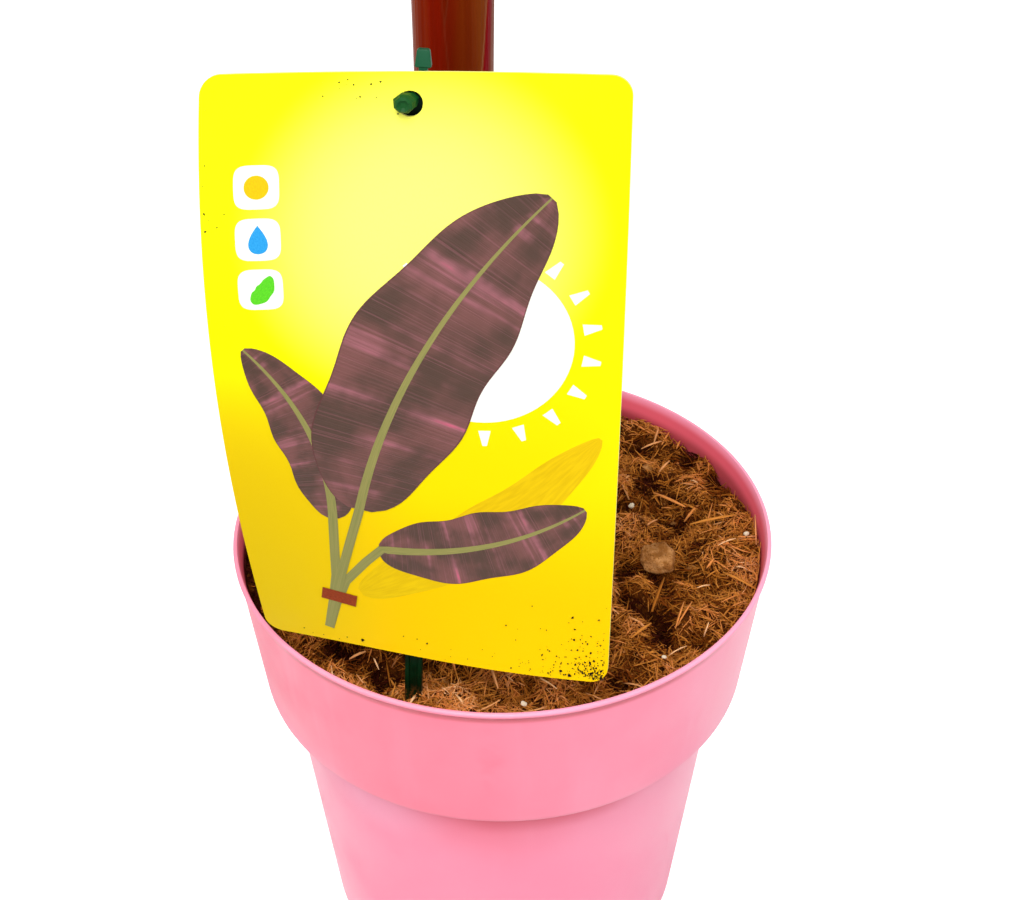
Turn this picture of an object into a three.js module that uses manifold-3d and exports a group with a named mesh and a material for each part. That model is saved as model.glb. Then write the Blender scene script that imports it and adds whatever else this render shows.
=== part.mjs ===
// A young banana plant in a round nursery pot, with a picture card on a stake at the front.
// Millimetres, +Z up. The origin is the centre of the pot's flat underside, and the card faces -Y.

import * as THREE from "three";
import { mergeVertices } from "three/addons/utils/BufferGeometryUtils.js";
import Module from "manifold-3d";

const wasm = await Module();
wasm.setup();
const { lerp, smoothstep, degToRad } = THREE.MathUtils;

// Clearance between neighbouring pieces, and the distance within which corners are one
const GAP = 0.3;
const WELD = 0.001;

// Share of its length that a shallow arc loses, over the square of its rise by its length
const BOW_DROP = 8 / 3;

// Turn between one value and the next in a spread that never repeats itself
const GOLDEN = 0.618;

// Pot: a deep collar with a rolled lip over a tapering body
const POT = {
  height: 195,
  rimRadius: 105,
  wall: 1.8,
  floor: 2.6,
  lipRadius: 1.7,
  collarHeight: 63.8,
  collarTopRadius: 104.2,
  collarFootRadius: 97.5,
  collarEdgeRound: 2.2,
  bodyTopRadius: 88.7,
  bodyFootRadius: 75.8,
  footRound: 3,
  sides: 48,
  arcSteps: 3,
  drainCount: 6,
  drainSides: 10,
  drainRadius: 5,
  drainRing: 52,
};
const SHOULDER = POT.height - POT.collarHeight;
const LIP_FOOT = POT.height - 2 * POT.lipRadius;

// Coir fill: a lumpy top around a level patch that the stem stands on
const SOIL = {
  level: 183,
  lump: 2.4,
  lumpPitch: 17,
  patchRadius: 30,
  lumpStart: 44,
  lumpEnd: [80, 98],
  innerRing: 24,
  rings: 6,
};

// Pseudostem, cut flat at the soil; lean is how far its top stands right of its foot
const STEM = {
  x: -17,
  y: 0,
  lean: 3.5,
  foot: SOIL.level + GAP,
  top: 530,
  footRadius: 15.6,
  topRadius: 11.6,
  flare: 3.2,
  flareHeight: 18,
  sheathSwell: 1.3,
  sheathRun: 90,
  sheathFade: 14,
  sides: 24,
  rings: 30,
};

// Leaves, from the oldest and lowest to the youngest; each pair of values is [oldest, youngest]
const LEAF = {
  count: 7,
  turn: 3 / 7,
  firstAzimuth: 30,
  footHeight: [448, 522],
  footSink: 4,
  petiole: [82, 122],
  blade: [265, 385],
  halfWidth: [56, 75],
  footAngle: [36, 10],
  middleAngle: [66, 32],
  tipAngle: [116, 74],
  footShare: 0.4,
  middleShare: 0.34,
  tipShare: 0.34,
  roll: 9,
  petioleFootHalf: 8.5,
  petioleHalf: 4.6,
  petioleRun: 60,
  petioleCore: 8.5,
  petioleEdge: 3.2,
  thicknessShare: 0.0105,
  tipHalf: 1.6,
  ribHalf: 4.2,
  ribDepth: 5,
  bladeStart: [-0.03, 0.06],
  basePower: 0.32,
  tipPower: 0.5,
  keel: 0.3,
  droop: 0.38,
  wave: 4.5,
  waves: 3.4,
  waveStart: 0.15,
  waveShift: 1.9,
  lengthSteps: 24,
  sideRows: 3,
  mostTears: 3,
  tearWidth: 7,
  tearRoot: 0.06,
  tearSlant: 0.07,
  tearInner: [0.3, 0.6],
  tearAlong: [0.12, 0.8],
};

// Rolled new leaf that stands in the fork
const SPEAR = {
  length: 285,
  footRadius: 6.2,
  bellyRadius: 8.4,
  belly: 0.36,
  tipRadius: 1.6,
  taperPower: 1.6,
  azimuth: 30,
  sway: 22,
  sides: 12,
  rings: 14,
};

// Picture card, bowed towards the viewer at its left edge and twisted along its height
const CARD = {
  width: 123,
  height: 208.6,
  thickness: 0.8,
  cornerRadius: 6,
  bowLeft: 15.8,
  bowRight: -2.8,
  bowSkew: 0.4,
  twist: 21.3,
  position: [-24.1, -89.1, 208.9],
  yaw: -15.6,
  lean: -5.7,
  roll: -1.6,
  holeRadius: 3.75,
  holeShift: -1,
  holeDrop: 9,
  facet: 18,
};

// Stake behind the card, an H section with a slim neck, a barbed head and a six-sided peg
const STAKE = {
  leanRight: 2.65,
  leanBack: 4.35,
  buried: 40,
  pocketRise: 20,
  width: 6,
  depth: 4,
  grooveWidth: 3,
  grooveDepth: 1.1,
  pointLength: 9,
  pointShare: 0.35,
  standOff: 1,
  barAbovePeg: 3,
  neckWidth: 2.6,
  neckDepth: 2,
  headAbovePeg: 9.2,
  headWidth: 4.8,
  headDepth: 2.8,
  headHeight: 5.2,
  headTopShare: 0.78,
  overlap: 1,
  pegSide: 3.2,
  pegRadius: 2.7,
  pegTipRadius: 2.1,
  pegReach: 4.5,
  pegSides: 6,
};

// Finishes
const FINISH = {
  pot: new THREE.MeshStandardMaterial({ color: 0xf58aa8, roughness: 0.42, metalness: 0 }),
  soil: new THREE.MeshStandardMaterial({ color: 0x7d4a26, roughness: 0.95, metalness: 0 }),
  stem: new THREE.MeshStandardMaterial({ color: 0x6f2412, roughness: 0.4, metalness: 0 }),
  leaf: new THREE.MeshStandardMaterial({ color: 0x4c5a2c, roughness: 0.45, metalness: 0 }),
  card: new THREE.MeshStandardMaterial({ color: 0xf6e51a, roughness: 0.35, metalness: 0 }),
  stake: new THREE.MeshStandardMaterial({ color: 0x1c5a3c, roughness: 0.5, metalness: 0 }),
};

// Geometry helpers

// Corners merged, collapsed faces dropped and the faces turned outwards.
function welded(geometry) {
  const bare = new THREE.BufferGeometry();
  bare.setAttribute("position", geometry.getAttribute("position"));
  bare.setIndex(geometry.index);
  const merged = mergeVertices(bare, WELD);
  const corner = merged.index.array;
  const position = merged.getAttribute("position");
  const [a, b, c] = [new THREE.Vector3(), new THREE.Vector3(), new THREE.Vector3()];
  const kept = [];
  let volume = 0;
  for (let i = 0; i < corner.length; i += 3) {
    const [p, q, r] = corner.slice(i, i + 3);
    if (p === q || q === r || r === p) continue;
    kept.push([p, q, r]);
    a.fromBufferAttribute(position, p);
    b.fromBufferAttribute(position, q);
    c.fromBufferAttribute(position, r);
    volume += a.dot(b.cross(c));
  }
  const faces = volume > 0 ? kept : kept.map(([p, q, r]) => [p, r, q]);
  merged.setIndex(faces.flat());
  return merged;
}

function toSolid(geometry) {
  const clean = welded(geometry);
  return new wasm.Manifold(new wasm.Mesh({
    numProp: 3,
    vertProperties: new Float32Array(clean.getAttribute("position").array),
    triVerts: new Uint32Array(clean.index.array),
  }));
}

function toGeometry(solid) {
  const mesh = solid.getMesh();
  const geometry = new THREE.BufferGeometry();
  geometry.setAttribute("position", new THREE.BufferAttribute(mesh.vertProperties, 3));
  geometry.setIndex(new THREE.BufferAttribute(mesh.triVerts, 1));
  return geometry;
}

// Moves every vertex to the place that the rule gives for it.
function reshape(geometry, rule) {
  const position = geometry.getAttribute("position");
  for (let i = 0; i < position.count; i += 1) {
    const place = rule(position.getX(i), position.getY(i), position.getZ(i));
    position.setXYZ(i, place.x, place.y, place.z);
  }
  return geometry;
}

// A turned form about +Z from a profile of radius and height.
function turned(points, sides) {
  return new THREE.LatheGeometry(points, sides).rotateX(Math.PI / 2);
}

// A cylinder of unit radius about +Z, from height 0 to 1.
function unitCylinder(sides, rings) {
  return new THREE.CylinderGeometry(1, 1, 1, sides, rings).rotateX(Math.PI / 2).translate(0, 0, 0.5);
}

function named(name, geometry, material) {
  const mesh = new THREE.Mesh(geometry, material);
  geometry.computeVertexNormals();
  mesh.name = name;
  return mesh;
}

// Pot

function potProfile() {
  const outline = new THREE.Path();
  const edge = POT.collarEdgeRound;
  const lipCentre = POT.rimRadius - POT.lipRadius;
  const inside = SHOULDER + POT.wall;
  outline.moveTo(0, 0);
  outline.lineTo(POT.bodyFootRadius - POT.footRound, 0);
  outline.absarc(POT.bodyFootRadius - POT.footRound, POT.footRound, POT.footRound, -Math.PI / 2, 0);
  outline.lineTo(POT.bodyTopRadius, SHOULDER);
  outline.absarc(POT.collarFootRadius - edge, SHOULDER + edge, edge, -Math.PI / 2, 0);
  outline.lineTo(POT.collarTopRadius, LIP_FOOT);
  outline.absarc(lipCentre, POT.height - POT.lipRadius, POT.lipRadius, -Math.PI / 4, Math.PI);
  outline.lineTo(POT.collarTopRadius - POT.wall, LIP_FOOT);
  outline.lineTo(POT.collarFootRadius - POT.wall, inside);
  outline.lineTo(POT.bodyTopRadius - POT.wall, inside);
  outline.lineTo(POT.bodyFootRadius - POT.wall, POT.floor);
  outline.lineTo(0, POT.floor);
  return outline.getPoints(POT.arcSteps);
}

function makePot() {
  let pot = toSolid(turned(potProfile(), POT.sides));
  for (let i = 0; i < POT.drainCount; i += 1) {
    const turn = (2 * Math.PI * i) / POT.drainCount;
    const drill = new THREE.CylinderGeometry(POT.drainRadius, POT.drainRadius, 4 * POT.floor, POT.drainSides);
    drill.rotateX(Math.PI / 2);
    drill.translate(POT.drainRing * Math.cos(turn), POT.drainRing * Math.sin(turn), 0);
    pot = pot.subtract(toSolid(drill));
  }
  return named("pot", toGeometry(pot), FINISH.pot);
}

// Soil

function soilProfile() {
  const slack = POT.wall + GAP;
  const inside = SHOULDER + POT.wall + GAP;
  const collarRise = (SOIL.level - SHOULDER) / (LIP_FOOT - SHOULDER);
  const edge = lerp(POT.collarFootRadius, POT.collarTopRadius, collarRise) - slack;
  const points = [
    new THREE.Vector2(0, POT.floor + GAP),
    new THREE.Vector2(POT.bodyFootRadius - slack, POT.floor + GAP),
    new THREE.Vector2(POT.bodyTopRadius - slack, inside),
    new THREE.Vector2(POT.collarFootRadius - slack, inside),
  ];
  for (let i = 0; i < SOIL.rings; i += 1) {
    points.push(new THREE.Vector2(lerp(edge, SOIL.innerRing, i / (SOIL.rings - 1)), SOIL.level));
  }
  points.push(new THREE.Vector2(0, SOIL.level));
  return points;
}

// Height of the lumps at a place on the soil: none on the patch under the stem or at the wall.
function lumpHeight(x, y) {
  const away = Math.hypot(x - STEM.x, y - STEM.y);
  const clear = smoothstep(away, SOIL.patchRadius, SOIL.lumpStart);
  const open = clear * (1 - smoothstep(Math.hypot(x, y), ...SOIL.lumpEnd));
  const wave = Math.sin(x / SOIL.lumpPitch + 1.3) * Math.cos(y / SOIL.lumpPitch - 0.4);
  const ripple = Math.sin((x + 2 * y) / SOIL.lumpPitch) * Math.cos((1.7 * x - y) / SOIL.lumpPitch);
  return SOIL.lump * open * (0.6 * wave + 0.4 * ripple);
}

function makeSoil(stakePocket) {
  const block = reshape(turned(soilProfile(), POT.sides), (x, y, z) => {
    const rise = z > SOIL.level - 0.5 ? lumpHeight(x, y) : 0;
    return new THREE.Vector3(x, y, z + rise);
  });
  return named("soil", toGeometry(toSolid(block).subtract(stakePocket)), FINISH.soil);
}

// Leaves: the rule that places them

function leafAge(number) {
  return number / (LEAF.count - 1);
}

function leafAzimuth(number) {
  return degToRad(LEAF.firstAzimuth + 360 * LEAF.turn * number);
}

function leafFoot(number) {
  return lerp(...LEAF.footHeight, leafAge(number));
}

// Stem

function stemAxis(height) {
  const rise = (height - STEM.foot) / (STEM.top - STEM.foot);
  return new THREE.Vector2(STEM.x + STEM.lean * rise, STEM.y);
}

function stemRadius(turn, height) {
  const rise = height - STEM.foot;
  const taper = lerp(STEM.footRadius, STEM.topRadius, rise / (STEM.top - STEM.foot));
  let swell = 0;
  for (let number = 0; number < LEAF.count; number += 1) {
    const foot = leafFoot(number);
    const facing = Math.max(0, Math.cos(turn - leafAzimuth(number))) ** 2;
    const below = smoothstep(height, foot - STEM.sheathRun, foot);
    const above = smoothstep(height, foot, foot + STEM.sheathFade);
    swell = Math.max(swell, facing * below * (1 - above));
  }
  return taper + STEM.flare * Math.exp(-rise / STEM.flareHeight) + STEM.sheathSwell * swell;
}

// The stem's form, grown by a margin all round and over its top.
function stemForm(margin) {
  return reshape(unitCylinder(STEM.sides, STEM.rings), (x, y, z) => {
    const height = lerp(STEM.foot, STEM.top + margin, z);
    const axis = stemAxis(height);
    const turn = Math.atan2(y, x);
    const radius = Math.hypot(x, y) * (stemRadius(turn, height) + margin);
    return new THREE.Vector3(
      axis.x + radius * Math.cos(turn),
      axis.y + radius * Math.sin(turn),
      height,
    );
  });
}

function makeStem() {
  return named("stem", welded(stemForm(0)), FINISH.stem);
}

// One leaf: petiole, rib and blade as one body

function leafLine(number) {
  const age = leafAge(number);
  const azimuth = leafAzimuth(number);
  const length = lerp(...LEAF.petiole, age) + lerp(...LEAF.blade, age);
  const axis = stemAxis(leafFoot(number));
  const start = stemRadius(azimuth, leafFoot(number)) - LEAF.footSink;
  const place = new THREE.Vector2(start, leafFoot(number));
  const points = [place.clone()];
  const legs = [
    [LEAF.footShare, LEAF.footAngle],
    [LEAF.middleShare, LEAF.middleAngle],
    [LEAF.tipShare, LEAF.tipAngle],
  ];
  for (const [share, angles] of legs) {
    const angle = degToRad(lerp(...angles, age));
    place.x += share * length * Math.sin(angle);
    place.y += share * length * Math.cos(angle);
    points.push(place.clone());
  }
  return new THREE.CubicBezierCurve3(...points.map((p) => new THREE.Vector3(
    axis.x + p.x * Math.cos(azimuth),
    axis.y + p.x * Math.sin(azimuth),
    p.y,
  )));
}

function leafRule(number) {
  const age = leafAge(number);
  const azimuth = leafAzimuth(number);
  const petiole = lerp(...LEAF.petiole, age);
  const length = petiole + lerp(...LEAF.blade, age);
  const fullHalf = lerp(...LEAF.halfWidth, age);
  const peak = LEAF.basePower / (LEAF.basePower + LEAF.tipPower);
  const scale = fullHalf / (peak ** LEAF.basePower * (1 - peak) ** LEAF.tipPower);
  const thickness = LEAF.thicknessShare * length;
  const rollEnd = degToRad(LEAF.roll) * Math.sin(2 * Math.PI * GOLDEN * number + 1);
  const line = leafLine(number);
  const level = new THREE.Vector3(-Math.sin(azimuth), Math.cos(azimuth), 0);

  // Share of the blade passed at a share of the whole length; below zero on the petiole.
  const along = (share) => (share * length - petiole) / (length - petiole);

  const halfWidth = (share) => {
    const slim = smoothstep(share * length, 0, LEAF.petioleRun);
    const stalk = lerp(LEAF.petioleFootHalf, LEAF.petioleHalf, slim);
    const t = along(share);
    if (t <= 0) return stalk;
    const blade = scale * t ** LEAF.basePower * Math.max(0, 1 - t) ** LEAF.tipPower;
    return Math.max(blade, lerp(stalk, LEAF.tipHalf, t));
  };

  // Depth of the body under its upper face at a share of the half width.
  const depth = (share, across) => {
    const t = along(share);
    const stalk = LEAF.petioleEdge + (LEAF.petioleCore - LEAF.petioleEdge) * (1 - across * across);
    const rib = Math.abs(across) * halfWidth(share) < LEAF.ribHalf + GAP ? LEAF.ribDepth * (1 - t) : 0;
    return lerp(stalk, thickness + rib, smoothstep(t, ...LEAF.bladeStart));
  };

  // Place at a share of the length and of the half width, raised over the upper face.
  const point = (share, across, raise) => {
    const spine = line.getPointAt(share);
    const ahead = line.getTangentAt(share);
    const up = new THREE.Vector3().crossVectors(ahead, level);
    const roll = rollEnd * share;
    const side = level.clone().multiplyScalar(Math.cos(roll)).addScaledVector(up, Math.sin(roll));
    const top = up.multiplyScalar(Math.cos(roll)).addScaledVector(level, -Math.sin(roll));
    const half = halfWidth(share);
    const q = Math.abs(across);
    const t = Math.max(0, along(share));
    const curl = half * (LEAF.keel * q - LEAF.droop * q * q);
    const phase = number + (across > 0 ? 0 : LEAF.waveShift);
    const grow = LEAF.wave * q * q * smoothstep(t, 0, LEAF.waveStart);
    const wave = grow * Math.sin(2 * Math.PI * LEAF.waves * t + phase);
    return spine.addScaledVector(side, across * half).addScaledVector(top, curl + wave + raise);
  };

  return { age, length, petiole, halfWidth, depth, point };
}

// A slit that follows the veins from near the rib out past the margin, deeper than the blade.
function tearForm(rule, place, side, inner) {
  const past = 1.25;
  const reach = 3 * LEAF.ribDepth;
  return reshape(new THREE.BoxGeometry(1, 1, 1, 4, 1, 1), (x, y, z) => {
    const out = x + 0.5;
    const across = lerp(inner, past, out);
    const open = (LEAF.tearWidth / rule.length) * lerp(LEAF.tearRoot, 1, out);
    const share = place + LEAF.tearSlant * across + y * open;
    return rule.point(share, side * across, 2 * reach * z);
  });
}

function makeLeaf(number, grownStem) {
  const rule = leafRule(number);
  const width = 2 * LEAF.sideRows;
  const slab = new THREE.BoxGeometry(width, 1, 1, width, LEAF.lengthSteps, 1);
  const form = reshape(slab, (x, y, z) => {
    const share = y + 0.5;
    const row = Math.abs(Math.round(x));
    const rib = Math.min(0.5, LEAF.ribHalf / rule.halfWidth(share));
    const across = Math.sign(x) * (row === 0 ? 0 : lerp(rib, 1, (row - 1) / (LEAF.sideRows - 1)));
    return rule.point(share, across, z > 0 ? 0 : -rule.depth(share, across));
  });
  let leaf = toSolid(form).subtract(grownStem);
  const tears = Math.round(LEAF.mostTears * (1 - rule.age));
  for (let i = 0; i < tears; i += 1) {
    const spread = (GOLDEN * (i + 1 + LEAF.count * number)) % 1;
    const [first, last] = LEAF.tearAlong;
    const place = lerp(rule.petiole / rule.length + first, last, spread);
    const side = (i + number) % 2 === 0 ? 1 : -1;
    const inner = lerp(...LEAF.tearInner, (spread * LEAF.count) % 1);
    leaf = leaf.subtract(toSolid(tearForm(rule, place, side, inner)));
  }
  return named(`leaf_${number + 1}`, toGeometry(leaf), FINISH.leaf);
}

// Rolled new leaf

function makeSpear() {
  const azimuth = degToRad(SPEAR.azimuth);
  const axis = stemAxis(STEM.top);
  const form = reshape(unitCylinder(SPEAR.sides, SPEAR.rings), (x, y, z) => {
    const swell = z < SPEAR.belly
      ? lerp(SPEAR.footRadius, SPEAR.bellyRadius, Math.sin((Math.PI / 2) * (z / SPEAR.belly)))
      : lerp(SPEAR.bellyRadius, SPEAR.tipRadius, ((z - SPEAR.belly) / (1 - SPEAR.belly)) ** SPEAR.taperPower);
    const sway = SPEAR.sway * z * z;
    return new THREE.Vector3(
      axis.x + swell * x + sway * Math.cos(azimuth),
      axis.y + swell * y + sway * Math.sin(azimuth),
      STEM.top + GAP + SPEAR.length * z,
    );
  });
  return named("leaf_new", welded(form), FINISH.leaf);
}

// Card

function roundedCard() {
  const [w, h, r] = [CARD.width / 2, CARD.height, CARD.cornerRadius];
  const outline = new THREE.Shape();
  outline.moveTo(-w + r, 0);
  outline.absarc(w - r, r, r, -Math.PI / 2, 0);
  outline.absarc(w - r, h - r, r, 0, Math.PI / 2);
  outline.absarc(-w + r, h - r, r, Math.PI / 2, Math.PI);
  outline.absarc(-w + r, r, r, Math.PI, 1.5 * Math.PI);
  const hole = new THREE.Path();
  hole.absarc(CARD.holeShift, h - CARD.holeDrop, CARD.holeRadius, 0, 2 * Math.PI, true);
  outline.holes.push(hole);
  return outline;
}

// Place on the bowed and twisted card of a point of the flat sheet; a bowed edge stands lower.
function cardPlace(x, y, z) {
  const across = x / CARD.width + 0.5;
  const up = z / CARD.height;
  const most = lerp(CARD.bowLeft, CARD.bowRight, across);
  const bow = most * 4 * up * (1 - up) * (1 + CARD.bowSkew * (up - 0.5));
  const turn = CARD.twist * (across - 0.5) * up;
  const drop = BOW_DROP * (most / CARD.height) ** 2;
  return new THREE.Vector3(x, y - bow + turn, z * (1 - drop));
}

function makeCard() {
  const plate = new THREE.ExtrudeGeometry(roundedCard(), {
    depth: CARD.thickness,
    bevelEnabled: false,
    curveSegments: 5,
  });
  plate.rotateX(Math.PI / 2).translate(0, CARD.thickness / 2, 0);
  const sheet = toGeometry(toSolid(plate).refineToLength(CARD.facet));
  return named("label_card", reshape(sheet, cardPlace), FINISH.card);
}

function cardGroup() {
  const group = new THREE.Group();
  group.position.set(...CARD.position);
  group.rotation.set(degToRad(CARD.lean), degToRad(CARD.roll), degToRad(CARD.yaw), "ZXY");
  group.updateMatrixWorld();
  return group;
}

// Stake

// Frame of the stake: its foot at the soil, +Z up its length and -Y towards the viewer.
function stakeFrame(card) {
  const hang = CARD.holeRadius - STAKE.pegRadius - GAP;
  const onCard = (right, up) => cardPlace(
    CARD.holeShift + right, 0, CARD.height - CARD.holeDrop + up,
  ).applyMatrix4(card.matrixWorld);
  const hole = onCard(0, hang);
  const rightwards = onCard(1, hang).sub(hole);
  const upwards = onCard(0, hang + 1).sub(hole);
  const rise = new THREE.Vector3(
    Math.tan(degToRad(STAKE.leanRight)), Math.tan(degToRad(STAKE.leanBack)), 1,
  ).normalize();
  const back = upwards.cross(rightwards).projectOnPlane(rise).normalize();
  const right = new THREE.Vector3().crossVectors(back, rise);
  const behind = CARD.thickness / 2 + STAKE.standOff + STAKE.depth / 2;
  const onAxis = hole.addScaledVector(back, behind).addScaledVector(right, STAKE.pegSide);
  const pegHeight = (onAxis.z - SOIL.level) / rise.z;
  const group = new THREE.Group();
  group.position.copy(onAxis.addScaledVector(rise, -pegHeight));
  group.quaternion.setFromRotationMatrix(new THREE.Matrix4().makeBasis(right, back, rise));
  group.updateMatrixWorld();
  return { group, pegHeight };
}

// H section, wide across x, with a groove in its front and back faces.
function stakeSection() {
  const [w, d] = [STAKE.width / 2, STAKE.depth / 2];
  const [g, web] = [STAKE.grooveWidth / 2, d - STAKE.grooveDepth];
  const section = new THREE.Shape();
  section.moveTo(-w, -d);
  section.lineTo(-g, -d);
  section.lineTo(-g, -web);
  section.lineTo(g, -web);
  section.lineTo(g, -d);
  section.lineTo(w, -d);
  section.lineTo(w, d);
  section.lineTo(g, d);
  section.lineTo(g, web);
  section.lineTo(-g, web);
  section.lineTo(-g, d);
  section.lineTo(-w, d);
  return section;
}

function makeStake(pegHeight) {
  const barTop = pegHeight + STAKE.barAbovePeg;
  const headFoot = pegHeight + STAKE.headAbovePeg;
  const levels = [-STAKE.buried, STAKE.pointLength - STAKE.buried, barTop];
  const bar = new THREE.ExtrudeGeometry(stakeSection(), { depth: 2, steps: 2, bevelEnabled: false });
  reshape(bar, (x, y, z) => {
    const thin = z < 0.5 ? STAKE.pointShare : 1;
    return new THREE.Vector3(thin * x, thin * y, levels[Math.round(z)]);
  });
  const neckLength = headFoot - barTop + 2 * STAKE.overlap;
  const neck = new THREE.BoxGeometry(STAKE.neckWidth, STAKE.neckDepth, neckLength);
  neck.translate(0, 0, barTop - STAKE.overlap + neckLength / 2);
  const head = reshape(new THREE.BoxGeometry(1, 1, 1), (x, y, z) => {
    const share = z > 0 ? STAKE.headTopShare : 1;
    return new THREE.Vector3(
      x * share * STAKE.headWidth,
      y * share * STAKE.headDepth,
      headFoot + (z + 0.5) * STAKE.headHeight,
    );
  });
  const reach = STAKE.depth / 2 + STAKE.standOff + CARD.thickness + STAKE.pegReach;
  const peg = new THREE.CylinderGeometry(STAKE.pegTipRadius, STAKE.pegRadius, reach, STAKE.pegSides);
  peg.rotateX(Math.PI).translate(0, -reach / 2, 0).rotateY(Math.PI / 6);
  peg.translate(-STAKE.pegSide, 0, pegHeight);
  const stake = [neck, head, peg].reduce((whole, piece) => whole.add(toSolid(piece)), toSolid(bar));
  return named("label_stake", toGeometry(stake), FINISH.stake);
}

// Room in the soil for the buried end of the stake.
function stakePocketForm(group) {
  const room = new THREE.BoxGeometry(
    STAKE.width + 2 * GAP, STAKE.depth + 2 * GAP, STAKE.buried + GAP + STAKE.pocketRise,
  );
  room.translate(0, 0, (STAKE.pocketRise - STAKE.buried - GAP) / 2);
  return room.applyMatrix4(group.matrixWorld);
}

// Assembly

const plant = new THREE.Group();
const card = cardGroup();
const { group: stake, pegHeight } = stakeFrame(card);
card.add(makeCard());
stake.add(makeStake(pegHeight));
plant.add(makePot(), makeSoil(toSolid(stakePocketForm(stake))), makeStem());
const grownStem = toSolid(stemForm(GAP));
for (let number = 0; number < LEAF.count; number += 1) {
  plant.add(makeLeaf(number, grownStem));
}
plant.add(makeSpear(), card, stake);

export default plant;
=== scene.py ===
# Looks of a young potted banana plant, built around its solid frame.
# Sizes are millimetres and follow the solids; meshes are made in metres. +Z is up and the card faces -Y.

import math
from types import SimpleNamespace as Sizes

import bmesh
import bpy
import numpy as np
from mathutils import Matrix, Vector


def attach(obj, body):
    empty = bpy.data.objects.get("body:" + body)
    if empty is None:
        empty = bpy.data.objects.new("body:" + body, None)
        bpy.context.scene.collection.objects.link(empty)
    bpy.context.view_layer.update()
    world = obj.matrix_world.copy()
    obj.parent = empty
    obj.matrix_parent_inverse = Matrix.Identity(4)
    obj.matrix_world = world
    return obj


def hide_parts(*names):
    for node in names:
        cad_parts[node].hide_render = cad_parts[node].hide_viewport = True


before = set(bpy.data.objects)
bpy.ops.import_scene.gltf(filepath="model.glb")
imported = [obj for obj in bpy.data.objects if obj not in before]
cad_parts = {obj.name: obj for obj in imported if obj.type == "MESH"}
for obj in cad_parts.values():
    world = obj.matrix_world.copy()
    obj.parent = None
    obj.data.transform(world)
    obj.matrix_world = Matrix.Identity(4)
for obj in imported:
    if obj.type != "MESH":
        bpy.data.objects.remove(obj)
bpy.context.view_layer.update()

# Common values

MM = 0.001
TAU = 2 * math.pi
UP = np.array((0.0, 0.0, 1.0))
GAP = 0.3
GOLDEN = 0.618
TINY = 1e-6
# The chord of a bowed card is shorter by this much of the square of its bow over its height
BOW_DROP = 8 / 3

# Sizes of the pieces; a pair holds the values of the oldest and the youngest leaf, or the ends of a run

POT = Sizes(
    height=195, rim_radius=105.4, wall=1.8, floor=2.6, lip_radius=1.7, bead_radius=1.1,
    bead_turn=(-60, 115), groove=(104.15, 190.2), groove_round=2.0,
    collar_height=63.8, collar_top=104.6, collar_foot=98.1, collar_round=2.2,
    body_top=89.1, body_foot=76.2, foot_round=1.4, inner_round=1,
    drain_count=6, drain_radius=5, drain_ring=52, drain_sides=24,
    sides=192, spacing=5, arc_steps=6, weld=0.002, sharp_angle=50,
)
SHOULDER = POT.height - POT.collar_height
LIP_FOOT = POT.height - 2 * POT.lip_radius

SOIL = Sizes(
    level=183, lump=1.9, lump_waves=(9, 40), pit=5.5, pit_waves=(12, 32), pit_start=(0.8, 1.8),
    patch_radius=20, lump_start=36, lump_end=(88, 101), wall_calm=0.6, lift=0.5, edge_drop=4,
    grain=0.6, grain_waves=(2.5, 6), sides=160, rings=64, damp_depth=6, damp_strength=1.5,
    # Places of painted shade on the coir: x, y and width
    damp=((-98, -8, 16), (-95, -26, 14), (-91, -40, 9)),
    # Hollows and mounds: x, y, width, and depth or height
    hollows=(
        (50, -14, 5, 5), (60, -22, 5, 5), (50, -34, 5, 6), (56, -38, 4, 5), (61, -42, 5.5, 7),
        (60, -50, 4.5, 6), (81, -1, 4.5, 4), (71, 6, 4, 4), (75, -58, 4.5, 5), (40, -77, 5, 5),
        (48, 26, 6, 5), (79, 57, 5.5, 6), (87, 42, 4, 5), (60, 69, 5, 5), (62, 38, 5.5, 6),
        (72, 19, 4.5, 4), (-62, -60, 6, 5), (-43, -69, 6, 5), (-70, 30, 6, 4), (-20, 70, 7, 4),
    ),
    mounds=(
        (53, -27, 7, 3.5), (70, -45, 6, 3.5), (83, -41, 6, 2.5), (48, -53, 7, 3), (90, 12, 10, 2),
        (48, 86, 10, 7), (-62, -45, 8, 2.5), (-96, -14, 14, 7), (-30, 84, 9, 3), (20, 40, 8, 2.5),
        (-80, 5, 8, 2.5),
    ),
)

STEM = Sizes(
    x=-17, y=0, lean=3.5, foot=183.3, top=530, foot_radius=15.6, top_radius=11.6, flare=3.2, flare_height=18,
    sheath_swell=1.3, sheath_run=90, sheath_fade=14, sides=180, rings=260,
    sheath_step=0.45, sheath_set_in=0.55, sheath_open=44, sheath_rate=0.49, sheath_most=177,
    sheath_sway=3, sway_run=23, sheath_hide=0.85, sheath_start=2, edge_soft=3,
    edge_start=(-1.5, 1), edge_band=(9, 21), inner_edge=0.12,
    rim_start=(-3.5, -2), rim_end=(-1.5, 0), rim_strength=0.5,
    rib=0.05, rib_count=46, rib_sway=0.6, rib_sway_run=40, rib_start=(190, 230),
    crown_start=500, crown_share=0.52,
)

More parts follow.
